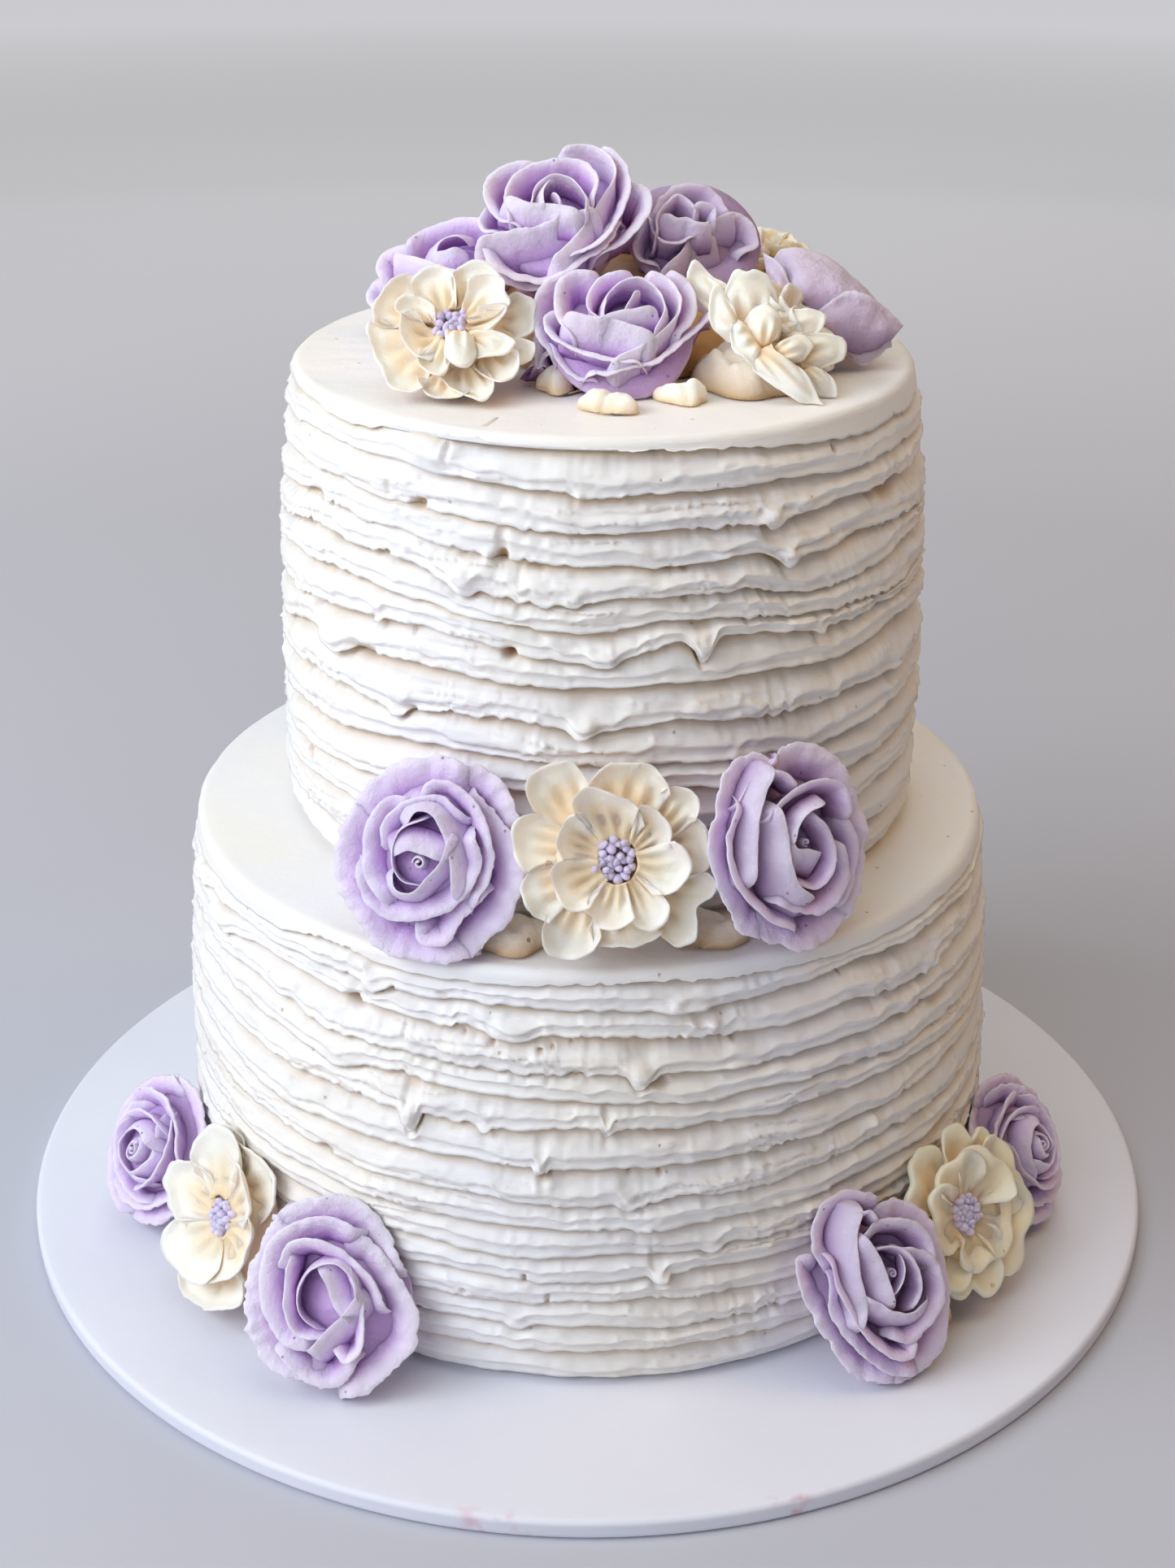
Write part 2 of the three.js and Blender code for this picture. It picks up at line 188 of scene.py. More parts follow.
def give_fields(mesh, fields):
    """Gives a mesh named numbers for its material to read, one for each point."""
    for field, values in fields.items():
        mesh.attributes.new(field, "FLOAT", "POINT").data.foreach_set("value", np.ravel(values))


def face_outwards(mesh):
    """Turns every closed shell's faces outwards."""
    shells = bmesh.new()
    shells.from_mesh(mesh)
    bmesh.ops.recalc_face_normals(shells, faces=shells.faces)
    shells.to_mesh(mesh)
    shells.free()


def finish_piece(made, material, node):
    made.data.materials.clear()
    made.data.materials.append(material)
    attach(made, "root")
    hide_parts(node)


class Shells:
    """Closed shells gathered into one piece, with two numbers a point for the finish: how much painted
    highlight it takes at rims, and how much painted shade in hollows.
    """

    def __init__(self):
        self.points, self.faces, self.edge, self.hollow, self.count = [], [], [], [], 0

    def add(self, points, faces, edge, hollow):
        points = np.asarray(points, float).reshape(-1, 3)
        self.points.append(points)
        self.faces.extend([tuple(int(i) + self.count for i in face) for face in faces])
        self.edge.append(np.ravel(edge))
        self.hollow.append(np.ravel(hollow))
        self.count += len(points)

    def all_points(self):
        return np.concatenate(self.points)

    def scale(self, across, up):
        self.points = [points * (across, up, 1.0) for points in self.points]

    def fields(self):
        return {"edge": np.concatenate(self.edge), "hollow": np.concatenate(self.hollow)}


# ------------------------------------------------------------------ materials
def linear(hex_colour, alpha=1.0):
    """An sRGB hex colour as the linear colour that Blender's sockets take."""
    parts = [int(hex_colour[i:i + 2], 16) / 255 for i in (1, 3, 5)]
    return tuple(c / 12.92 if c <= 0.04045 else ((c + 0.055) / 1.055) ** 2.4 for c in parts) + (alpha,)


def new_material(name):
    material = bpy.data.materials.new(name)
    material.use_nodes = True
    tree = material.node_tree
    shader = tree.nodes["Principled BSDF"]
    return material, tree, shader


def add(tree, kind, inputs=None, **settings):
    """Adds a node with its settings and inputs."""
    node = tree.nodes.new(kind)
    for name, value in settings.items():
        setattr(node, name, value)
    set_inputs(tree, node, inputs or {})
    return node


def set_inputs(tree, node, inputs):
    """An input is a plain value, an output socket, or a node, which stands for its first output in use."""
    for name, value in inputs.items():
        if isinstance(value, bpy.types.Node):
            value = next(socket for socket in value.outputs if socket.enabled)
        if isinstance(value, bpy.types.NodeSocket):
            tree.links.new(value, node.inputs[name])
        else:
            node.inputs[name].default_value = value


MIX_SHARE, MIX_UNDER, MIX_OVER = 0, 6, 7        # the sockets of a colour mix


def finish_surface(tree, shader, colour, coats, relief, settings):
    """Finishes a shader. Each coat is a share and the colour that it lays over those before; each layer
    of relief is a height, its strength, its depth in metres and whether it is sunk."""
    for share, over in coats:
        sockets = {MIX_SHARE: share, MIX_UNDER: colour, MIX_OVER: linear(over)}
        colour = add(tree, "ShaderNodeMix", sockets, data_type="RGBA")
    under = {}
    for height, strength, depth, sunk in relief:
        sockets = {"Height": height, "Strength": strength, "Distance": depth, **under}
        under = {"Normal": add(tree, "ShaderNodeBump", sockets, invert=sunk)}
    set_inputs(tree, shader, {"Base Color": colour, **under, **settings})


# How an icing was worked: its clouds of colour (size and the noise they pass between), the field that shows
# its last colour (brown painted shade in holes and tears on the tiers, a painted highlight at rims on the
# flowers), a hole's share of the holes' spacing and how strongly painted shade darkens the holes, the coarse
# and fine grain (size, detail and roughness of the noise), the bump (strength and depth in m) of grain and
# holes, its roughness, and how much light soaks in and how deep. The spatula draws the coarse grain out.
SPATULA_WORK = dict(cloud=(55.0, 0.35, 0.68), field="hole_shade", hole=0.055, pit_shade=0.6, coarse=(6.0, 4.0, 0.6),
                    drawn_out=(1.0, 1.0, 7.0), coarse_depth=0.0006, fine=(0.9, 2.0, 0.6),
                    fine_bump=(0.2, 0.0002), hole_bump=(0.7, 0.0005), roughness=0.48, soaks=(0.15, 0.0018))
PIPED_WORK = dict(cloud=(14.0, 0.3, 0.7), field="edge", hole=0.075, pit_shade=0.7, coarse=(2.6, 5.0, 0.62),
                  drawn_out=None, coarse_depth=0.0011, fine=(0.5, 2.0, 0.6),
                  fine_bump=(0.25, 0.00012), hole_bump=(0.8, 0.0004), roughness=0.5, soaks=(0.4, 0.003))


def noise_inputs(place, size, detail, rough):
    """The inputs of a noise whose lumps are of a size in mm."""
    return {"Vector": place, "Scale": PER_METRE / size, "Detail": detail, "Roughness": rough}


def buttercream(name, body, deep, last, pit_shade_colour, hole_spacing, soak, lump, work=PIPED_WORK):
    """Buttercream: clouds of two body colours; a deeper one painted into hollows as shade; a last one painted
    at thin rims as a highlight on the flowers, and into holes and tears as brown shade on the tiers; grain
    and small air holes, which take a darker painted shade; a satin sheen; and light that soaks in and warms
    what is thin. lump is how strongly the coarse grain shows."""
    material, tree, shader = new_material(name)
    place = add(tree, "ShaderNodeTexCoord").outputs["Object"]
    size, low, high = work["cloud"]
    cloud = add(tree, "ShaderNodeTexNoise", noise_inputs(place, size, 2.0, 0.5))
    clouds = add(tree, "ShaderNodeMapRange", {"Value": cloud, "From Min": low, "From Max": high})
    hollow = add(tree, "ShaderNodeAttribute", attribute_name="hollow").outputs["Fac"]
    marked = add(tree, "ShaderNodeAttribute", attribute_name=work["field"]).outputs["Fac"]
    cells = add(tree, "ShaderNodeTexVoronoi", {"Vector": place, "Scale": PER_METRE / hole_spacing})
    holes = add(tree, "ShaderNodeMapRange", {
        "Value": cells, "From Min": work["hole"], "From Max": 0.55 * work["hole"]})
    pit_shade_share = add(tree, "ShaderNodeMath", {0: holes, 1: work["pit_shade"]}, operation="MULTIPLY")
    grained = place
    if work["drawn_out"]:
        grained = add(tree, "ShaderNodeMapping", {"Vector": place, "Scale": work["drawn_out"]})
    coarse = add(tree, "ShaderNodeTexNoise", noise_inputs(grained, *work["coarse"]))
    fine = add(tree, "ShaderNodeTexNoise", noise_inputs(place, *work["fine"]))
    # Coats: the body's clouds, painted shade in hollows, the last colour (painted rim highlight on flowers,
    # brown painted shade in holes on the tiers), then painted shade in the air holes.
    coats = ((clouds, body[1]), (hollow, deep), (marked, last), (pit_shade_share, pit_shade_colour))
    relief = ((coarse, lump, work["coarse_depth"], False), (fine, *work["fine_bump"], False),
              (holes, *work["hole_bump"], True))
    finish_surface(tree, shader, linear(body[0]), coats, relief, {
        "Roughness": work["roughness"], "IOR": 1.45, "Specular IOR Level": 0.4,
        "Subsurface Weight": work["soaks"][0], "Subsurface Radius": soak,
        "Subsurface Scale": work["soaks"][1]})
    return material


def board_paper():
    """White embossed paper wrapped over a cake drum: nearly matt, with the fine tooth of the paper,
    faint long creases, and a few faint pink smudges of icing on the rim."""
    material, tree, shader = new_material("white_wrapped_board_paper")
    place = add(tree, "ShaderNodeTexCoord").outputs["Object"]
    along = add(tree, "ShaderNodeMapping", {"Vector": place, "Scale": (1.0, 1.0, 0.2)})
    cloud, spot, tooth, crease = (add(tree, "ShaderNodeTexNoise", noise_inputs(*noise)) for noise in (
        (place, 60.0, 3.0, 0.5), (place, 5.0, 3.0, 0.5), (place, 0.7, 2.0, 0.7), (along, 9.0, 2.0, 0.4)))
    clouds = add(tree, "ShaderNodeMapRange", {"Value": cloud, "From Min": 0.3, "From Max": 0.7})
    spots_shown = add(tree, "ShaderNodeMapRange", {"Value": spot, "From Min": 0.5, "From Max": 0.72})
    smudge = add(tree, "ShaderNodeAttribute", attribute_name="smudge").outputs["Fac"]
    smudged = add(tree, "ShaderNodeMath", {0: spots_shown, 1: smudge}, operation="MULTIPLY")
    finish_surface(tree, shader, linear("#E4E5EF"), ((clouds, "#E9EAF3"), (smudged, "#D9A6B4")),
                   ((crease, 0.15, 0.0006, False), (tooth, 0.35, 0.0001, False)),
                   {"Roughness": 0.55, "Specular IOR Level": 0.45})
    return material


# How far red, green and blue light soak into lilac icing and into ivory or off-white icing.
COOL_SOAK, WARM_SOAK, PLAIN_SOAK = (1.0, 0.75, 0.9), (1.0, 0.62, 0.36), (1.0, 0.75, 0.5)
# Off-white buttercream that a spatula dragged round the tiers, with a beige painted shade in its recesses, a
# brown painted shade in its holes and tears, and a tan painted shade in its air holes.
icing = buttercream("tier_buttercream_spatula_finish", ("#F5F3F3", "#F7F2E9"), "#DCC9B0", "#B98F5A",
                    "#C9B498", 9.0, PLAIN_SOAK, 0.35, SPATULA_WORK)
# Stiff tinted buttercream piped with a petal tip, in one lilac for the roses, with a paler copy of it as
# painted light and a greyer and a duskier copy as painted shade. Each has a dark purple painted shade in its
# hollows, a pale painted highlight at its rims and a darker painted shade in its air holes.
lilac = buttercream("rose_buttercream_lilac", ("#E9D4F7", "#F0DFFB"), "#A470BC", "#F8EDFC",
                    "#8B6FA6", 5.0, COOL_SOAK, 0.7)
lit_lilac = buttercream("rose_buttercream_lilac_painted_light", ("#F3DFFD", "#F8E9FF"), "#AA74C2", "#FCF3FF",
                         "#8B6FA6", 5.0, COOL_SOAK, 0.7)
shaded_lilac = buttercream("rose_buttercream_lilac_painted_shade", ("#E2CBED", "#ECDBF5"), "#7D5089", "#F5E9FA",
                    "#84688F", 5.0, COOL_SOAK, 0.65)
deep_shaded_lilac = buttercream("rose_buttercream_lilac_painted_deep_shade", ("#D0BCD5", "#DBCCE1"), "#835D8C", "#E6DAEC",
                    "#84688F", 5.0, COOL_SOAK, 0.8)
# The same in two batches of ivory for the blossoms, smoother and with fewer holes, each with a peach painted
# shade in its hollows, a paler painted highlight at its rims and a darker painted shade in its air holes.
ivory = buttercream("blossom_buttercream_ivory", ("#FFF3E1", "#FFF8EB"), "#F6CB96", "#FFF7EA",
                    "#D9BF92", 11.0, WARM_SOAK, 0.35)
warm_ivory = buttercream("blossom_buttercream_warm_ivory", ("#FFEFCE", "#FFF5DE"), "#EFC184", "#FFF6E2",
                         "#D9BF92", 11.0, WARM_SOAK, 0.35)
# Cream-coloured icing under the flowers, given a brown painted shade in its hollows, and nearly all over on
# the mound, where the light turns brown between the flowers; a paler painted highlight at its tops, and a
# dark brown painted shade in its air holes.
shaded_cream = buttercream("cream_buttercream_painted_brown_shade", ("#F3E6CF", "#F8EEDC"), "#C09358", "#FBF4E6",
                      "#8C6233", 9.0, WARM_SOAK, 0.5)
# Bluish lilac icing pressed through a fine round tip for the stamens.
heart_lilac = buttercream("stamen_buttercream_lilac", ("#DBCAEF", "#E6DAF5"), "#B39CD0", "#EFE6F9",
                          "#B39CD0", 6.0, COOL_SOAK, 0.5)
paper = board_paper()

# ------------------------------------------------------------------ tiers
# Heights of the ridges' lower edges (lips) at these directions from the front, in degrees. The first
# row is the lower edge of the smooth rim band, and the last is the tier's own foot.
STATIONS = (-72, -60, -48, -36, -24, -12, 0, 12, 24, 36, 48, 60, 72)
UPPER_LIPS = (
    (229, 228.5, 227.3, 230, 230, 229.4, 228.8, 228.5, 228, 226.8, 225.6, 225.2, 225.5),
    (222, 223.5, 223, 222.5, 221.5, 220.6, 219.5, 220.4, 219.6, 219.2, 218.5, 218.5, 218),
    (215.5, 214.8, 215, 213.5, 213, 211.8, 211.2, 212.2, 211.8, 212.5, 213, 212.3, 213),
    (207, 208.5, 208, 207, 206, 204, 204, 203.2, 205, 202.3, 203.5, 202.4, 201),
    (199, 202, 201.8, 201.5, 198.5, 195.5, 196.6, 196.8, 196, 193.8, 194.2, 196, 197.5),
    (192.5, 193.2, 194, 192.8, 191, 189.8, 189.6, 191.8, 190.7, 188.6, 188, 186.8, 187),
    (183.2, 184, 185.3, 186.6, 186, 184, 182.5, 187, 186.3, 184, 184, 184, 183.5),
    (173, 177, 176, 178, 177.3, 176, 176.3, 177.5, 176.8, 176.5, 176.5, 178.3, 178),
    (165, 166, 166, 164.8, 168, 167.8, 166.3, 167.5, 166.3, 165.8, 166.6, 166.5, 166),
    (154.3, 155.5, 156.3, 157.4, 158.7, 158.6, 158, 157.7, 157, 155.8, 156.5, 158, 158),
    (145, 145, 146.2, 147.5, 149.5, 151, 151.5, 151.4, 150.5, 148.5, 147, 147, 148),
    (137, 137.5, 138, 138.5, 139, 140, 141, 141, 140.5, 139, 138, 138.8, 139),
    (128, 128.5, 128.5, 129, 129.5, 130, 131, 131, 130.5, 129.5, 129, 129, 129),
    (119.5,) * 13,
)
LOWER_LIPS = (
    (110.8, 111.5, 111.5, 114.2, 112.5, 112.7, 113.7, 113.9, 112.4, 111.8, 111.8, 112, 112),
    (107, 107.5, 107.5, 107.8, 107.5, 108.1, 108, 106.3, 107.1, 108.8, 107.9, 108.2, 107.5),
    (102.5, 101.2, 104.5, 103, 102.2, 101.6, 101.5, 100.5, 98.6, 99.2, 97, 98.5, 98),
    (94.5, 95, 95.4, 92.4, 92.4, 91.7, 91.8, 91.3, 90.4, 90.6, 89.6, 89, 89),
    (89, 88.7, 87.2, 85.2, 86.9, 85.5, 85.3, 83.6, 84.5, 82.5, 80.6, 80, 80),
    (79.5, 79.7, 79, 78, 78, 76.5, 78, 77, 77.1, 77, 76.2, 74, 73),
    (70.5, 70.5, 67.4, 68, 68.2, 67.9, 67.3, 68, 68, 68, 68.3, 68.5, 68),
    (62.5, 62, 60.3, 58.8, 58.9, 58.3, 56.8, 59, 58.6, 60.2, 59.5, 58.5, 58),
    (53, 52.7, 51.8, 51.3, 51.2, 50.8, 51.2, 50.3, 51.4, 51.1, 50.8, 50.5, 50),
    (45, 45, 45, 45.2, 44.6, 42.8, 44.2, 43.6, 43.8, 44, 43.5, 43, 43),
    (37.5, 37.5, 37.5, 37.3, 36.8, 36.5, 36.5, 37.6, 37.4, 37, 37, 37, 37),
    (30, 30, 30, 29.5, 29, 29.5, 31, 30.6, 29.9, 30, 30, 30, 30),
    (23, 23.2, 23.3, 23.4, 23.3, 22.8, 23.4, 22.4, 22.4, 22.5, 22.5, 22.5, 22.5),
    (16, 16, 16, 16, 16.1, 16.3, 16.2, 16.2, 16, 16, 16, 16, 16),
    (7.4,) * 13,
)

# Drips: direction and height of the lip that they hang from, half width and length, and bulge.
UPPER_DRIPS = (
    (16.2, 187.5, 3.4, 3.0, 1.5), (16.4, 186, 1.5, 3.4, 1.2), (0.2, 183, 3.2, 1.4, 1.2),
    (-3.2, 167, 3.2, 2.2, 1.3),
    (-36, 165.5, 2.6, 1.8, 0.9), (-51.5, 176, 5, 3, 0.9), (28.7, 212, 3.2, 1.8, 1.2),
    (31.5, 203.5, 2.6, 2.2, 1), (-23, 199.5, 3.8, 3.2, 1.3), (38, 184.6, 1.3, 1.3, 0.8),
    (22.5, 158.6, 1.4, 1.2, 0.8), (-40, 186, 1.6, 1.2, 0.6), (-5, 196.5, 2.2, 1, 0.6),
    (62, 167, 4, 1.6, 0.7), (5, 151.5, 2, 1.3, 0.7),
)
LOWER_DRIPS = (
    (6.5, 91.5, 2.6, 3.4, 1.3), (-23, 78, 1.9, 5.5, 1.5), (-6, 68, 1.6, 2.6, 1),
    (9, 37.6, 1.8, 2, 1), (-10, 102, 5, 2, 1.2), (2.5, 78, 1.5, 2.2, 0.8),
    (5, 58, 2, 1.6, 0.8), (-29, 108, 2.5, 2, 0.8), (-61, 103, 5, 2.5, 0.9),
    (-34.5, 86, 5, 1.8, 0.7), (16, 43.6, 2.4, 1.3, 0.7), (-13, 77, 1.6, 1.2, 0.7),
    (53, 97.5, 3, 2, 1), (-9, 24, 2.5, 1.5, 0.7), (47, 92, 2.5, 1.5, 0.7),
)
# Blobs left by the spatula: direction, height, half width, half height and bulge.
UPPER_BLOBS = (
    (-30, 225.5, 7, 3.6, 1.5), (-22.5, 199.8, 4.2, 3.4, 1.4), (-18.5, 204.5, 2, 1.6, 1.2),
    (28, 212.3, 4.6, 1.5, 1.3), (31.5, 203.2, 3, 1, 1), (35, 213.5, 3, 1.2, 0.9),
    (33, 186.8, 4.5, 1.4, 0.9), (15, 170.2, 3.2, 1.4, 0.9), (25, 168.6, 3.4, 1.3, 0.9),
    (-3, 167.5, 3, 1.8, 1.1), (16.3, 188.6, 3.4, 1.9, 1.2), (0, 184.5, 4.2, 2, 1),
    (-34, 186.8, 1.4, 1.8, 0.7), (20, 205, 2.6, 0.7, 0.8), (-36, 169, 5, 1.8, 0.8),
    (-52, 176.5, 5.5, 2.4, 0.9), (-63, 183, 5, 2, 0.8), (-47, 219, 9, 3, 0.6),
    (70, 194, 5, 3, 1.2), (-72, 191, 5, 3.5, 0.8), (56, 171.5, 5, 1.6, 0.8),
)
LOWER_BLOBS = (
    (12, 107.2, 7, 2.2, 1.4), (-10, 102.8, 5, 1.4, 1.3), (6, 92.2, 3, 1.8, 1.2),
    (-23.4, 76, 2, 2.6, 1.4), (9.5, 73.2, 5, 2, 1.1), (47.5, 57.8, 4.6, 1.8, 1.6),
    (40, 64.4, 1.8, 1.6, 1.1), (9, 37, 2.2, 1.3, 1.1), (-5.5, 67, 2.4, 1.5, 1.1),
    (16, 102, 1.3, 2.4, 0.9), (-14, 32.5, 11, 3, 0.9), (-45, 96.5, 6, 1.6, 0.8),
    (-70, 107.2, 7, 3.4, 2.2), (-33, 104, 2.2, 2.4, 1.2), (2, 78.5, 5, 1.3, 0.8),
    (20, 113, 5, 0.9, 0.7), (57, 98, 6, 1.4, 0.8), (-62, 103, 7, 2.4, 0.8),
    (-6, 63, 3, 2.5, 0.6), (30, 47, 3, 1.6, 0.6), (14, 60.2, 6, 1.2, 0.6),
)
# Holes and tears: direction, height, half width, half height, depth and how strongly the brown painted shade
# in them shows.
UPPER_HOLES = (
    (-32, 213.7, 2, 1.1, 2.6, 0.75), (-16.4, 205, 1.5, 1.3, 2.6, 0.9), (-15.3, 183, 1.5, 1.4, 3, 1),
    (-16.5, 208.5, 1.3, 3, 1.2, 0.1), (-26.8, 226.3, 0.8, 1.8, 1.6, 0.2), (-38, 201.4, 0.9, 0.6, 1.5, 0.6),
    (-51, 200.6, 3.6, 1.2, 2, 0.4), (-57.5, 208.8, 3, 0.9, 1.6, 0.25), (-44, 175.8, 4.6, 1.6, 2.4, 0.5),
    (-33, 165.8, 1.8, 0.8, 1.6, 0.5), (-61.5, 142, 1.6, 1.4, 1.8, 0.6), (-58, 182.4, 1.8, 0.7, 1.4, 0.3),
    (10.8, 203, 1.2, 0.5, 1.6, 0.6), (13.2, 202.8, 0.8, 0.6, 1.8, 0.8), (13.2, 195.8, 0.9, 0.8, 1.6, 0.6),
    (42.5, 223.6, 0.9, 1, 1.2, 0.6), (58.5, 210, 4.5, 2.2, 2.4, 0.7), (53, 210.6, 2.2, 1.6, 1.8, 0.5),
    (-40.5, 185.8, 1.6, 0.9, 1.4, 0.15), (-32.5, 184.2, 0.5, 1.6, 1.2, 0.1), (-11, 203.2, 1.6, 0.6, 1.8, 0.6),
    (-38.4, 215.8, 0.7, 1.5, 1, 0), (-23.3, 204.7, 0.8, 0.8, 1.2, 0.4), (48, 203, 3, 0.6, 1.4, 0.5),
    (-30, 178.6, 2.4, 0.4, 1, 0.3), (-70, 132, 3.5, 1, 0.9, 0.1), (-55, 128.4, 5, 0.8, 0.8, 0.1),
)
LOWER_HOLES = (
    (-32, 101.2, 2.6, 1.9, 3, 0.5), (-26, 106.8, 1, 0.8, 2, 0.5), (-36.5, 59.2, 2, 0.8, 2.2, 0.5),
    (-5.2, 64.9, 1.3, 1.1, 2.6, 0.8), (19, 97.6, 0.7, 1.2, 2, 0.9), (9.2, 64.7, 0.6, 0.7, 1.6, 0.8),
    (5.3, 65.2, 0.7, 0.6, 1.6, 0.7), (11.8, 99.8, 0.6, 0.5, 1.5, 0.8), (51, 107.5, 3, 0.5, 2, 0.8),
    (44, 107.4, 3.5, 0.5, 1.8, 0.6), (53.2, 95.2, 1.8, 0.7, 2, 0.7), (-5, 30.8, 0.6, 1.2, 1.4, 0.4),
    (-16, 30.6, 0.8, 0.7, 1.4, 0.4), (-6.2, 97, 0.7, 0.6, 1.5, 0.9), (-12.3, 98.2, 0.6, 0.6, 1.4, 0.9),
    (-4.5, 98, 0.5, 0.5, 1.2, 0.8), (-16, 99.5, 0.5, 0.5, 1.2, 0.7), (-2.2, 99, 0.5, 0.5, 1.2, 0.7),
    (-62.8, 87.2, 1.6, 1, 1.6, 0.2), (-24.2, 97.5, 0.5, 1.8, 1, 0), (8.8, 88.5, 2.6, 1.1, 2, 0.4),
    (-1.5, 91.8, 2.6, 0.6, 1.2, 0.3), (-8.2, 36.4, 0.6, 0.5, 1.4, 0.8), (35.3, 106.3, 0.5, 0.5, 1.3, 0.9),
    (53.5, 57, 3.6, 1, 1, 0.4), (55, 86.5, 5, 1.2, 1.2, 0.4), (-19, 108, 1.5, 0.4, 0.9, 0.3),
)
# Patches smoothed by the spatula: direction, height, half width, half height and share.
UPPER_SMOOTH = (
    (-62, 220, 26, 8.5, 0.82), (-34, 207.5, 15, 5, 0.85), (-36, 222, 11, 7, 0.75),
    (-24, 185.5, 9, 4.2, 0.8), (-65, 188, 16, 4, 0.6), (58, 219, 22, 4.5, 0.7),
    (62, 206, 16, 4, 0.45), (-64, 170, 18, 5.5, 0.55), (6, 197.5, 7, 3, 0.4), (-60, 136, 24, 12, 0.45),
    (-19, 206, 6, 5, 0.6), (52, 191, 18, 5, 0.35), (60, 136, 20, 12, 0.3),
)
LOWER_SMOOTH = (
    (-62, 100, 18, 7, 0.5), (-48, 84, 13, 3.5, 0.6), (-14, 33, 11, 4.5, 0.6), (42, 112.5, 16, 3.5, 0.85),
    (-52, 109, 16, 3, 0.6), (58, 82, 16, 6, 0.45), (60, 64, 14, 5, 0.35), (-66, 62, 16, 9, 0.4),
)

# A ridge: how deep the recess above it is and how far that rises behind the lip above, the underside's
# height and how far it draws in, how far under the lip above the face starts, how far inside the lips'
# radius the lip turns, the least height, and how much deeper the recesses are on the right.
RIDGE = dict(depth=4.9, rise=1.2, underside=2.9, drawn_in=1.2, start=0.2, lip_back=0.35, least=1.6,
             deeper_right=0.4)
ROWS = dict(recess=3, face=10, under=6, lip=3)
BEHIND = (108, 145, 180)        # more stations, round the back on either side
WALL = 12.0                     # how deep the tiers' shells reach inside the rim


def lip_radius(tier, z):
    """The radius that the lips reach: the side swells below the rim and tucks in at the foot."""
    swollen = tier["foot"] - (tier["foot"] - tier["rim"]) * np.exp(-(tier["top"] - z) / tier["swell"])
    tuck = np.clip(1 - (z - tier["bottom"]) / TUCK["height"], 0, None)
    return swollen - TUCK["depth"] * tuck * tuck


def on_round(tier, azimuth, radius, z):
    """Points at a direction from the front (degrees, positive to the right), radius and height."""
    a = np.radians(azimuth)
    x, y = tier["centre"] + radius * np.sin(a), -radius * np.cos(a)
    return np.stack(np.broadcast_arrays(x, y, z), -1)


def tier_columns(fine, coarse):
    """Directions round a tier, closer together on its decorated front than at the back."""
    front = np.arange(-100, 100, fine)
    back = np.arange(100, 260, coarse)
    around = np.concatenate([front, back])
    return np.where(around > 180, around - 360, around)


def degrees_off(azimuth, middle):
    """How far directions lie from a middle one, the short way round."""
    return (azimuth - middle + 180) % 360 - 180


def lips_round(tier, heights, azimuth):
    """The lips' heights at every column: the given stations in front, even ridges at the back."""
    last = len(heights) - 1
    front = STATIONS.index(0)
    stations = [-a for a in reversed(BEHIND)] + list(STATIONS) + list(BEHIND)
    made = []
    for k, row in enumerate(heights):
        level = k in (0, last)
        even = row[0] if level else np.interp(k, (0, last), (heights[0][front], heights[-1][front]))
        shift = [0.0 if level else lattice(k, s, 7, int(tier["top"])) for s in (1, 2, 3, 4)]
        values = [*(even + s for s in shift[:3]), *row, even + shift[3], even - shift[1], even + shift[0]]
        made.append(through(stations, values, azimuth))
    return np.array(made)


def spots(list_of_spots, tier, azimuth, z, power, drift):
    """For every spot, how near each point is to it: 1 in its middle and 0 well outside."""
    for middle, height, wide, high, *rest in list_of_spots:
        reach = lip_radius(tier, height) * pi / 180
        across = degrees_off(azimuth, middle) * reach + drift[0]
        near = np.exp(-np.power((across / wide) ** 2 + ((z - height + drift[1]) / high) ** 2, power))
        yield near, rest


def smoothness(patches, azimuth, z):
    """How far the ridges are smoothed away, from 0 to 1. Patch widths are in degrees."""
    share = np.zeros(np.broadcast(azimuth, z).shape)
    for middle, height, wide, high, strength in patches:
        off = degrees_off(azimuth, middle)
        near = np.exp(-((off / wide) ** 2 + ((z - height) / high) ** 2) ** 1.5)
        share = np.maximum(share, strength * near)
    return share


def ridge_rows(tier, k, lips, azimuth, depth, smooth):
    """The rows of one ridge from the recess under the lip above down to its own lip, each as the distance
    inside the lips' radius, the height, and how deep in the recess it lies, which sets how much painted shade
    it takes."""
    above, own = lips[k - 1], lips[k]
    face_top = above - RIDGE["start"]
    round_at = on_round(tier, azimuth, lip_radius(tier, own), own)
    uneven = with_lumps(0, round_at, (0.45, 19, k), (0.35, 5, k + 20))
    under = np.clip(RIDGE["underside"] * (1 + uneven), 0.8, 0.5 * (above - own))
    crest = own + under
    sharp = with_lumps(0.5, round_at, (0.5, 31, 50 + k))
    # The recess takes full painted shade, fading out down the upper part of the face; the underside takes
    # none, and the lip's turn takes some towards its underside.
    for t in np.linspace(0, 1, ROWS["recess"], endpoint=False):
        raised = RIDGE["rise"] * (1 - t) * (1 - smooth[k])
        yield depth[k], above + raised - RIDGE["start"], np.ones_like(own)
    for t in np.linspace(0, 1, ROWS["face"], endpoint=False):
        out = (1 - t) ** 1.25 * (1 - 0.25 * sin(pi * t))
        deep = 1 - eased(np.array(t / 0.6))
        yield depth[k] * out, face_top + (crest - above + RIDGE["start"]) * t, deep
    for t in np.linspace(0, 1, ROWS["under"], endpoint=False):
        droop = RIDGE["drawn_in"] * sin(pi * t ** 0.85) * (0.55 + 0.45 * sharp) + RIDGE["lip_back"] * t
        yield droop, crest + (own - crest) * t, 0.0
    for t in np.linspace(0, 1, ROWS["lip"], endpoint=False):
        turned = 0.18 * sin(pi * (0.3 + 0.7 * t))
        yield RIDGE["lip_back"] + 0.9 * t, own - turned + 0.2 * t * t, 0.6 * t


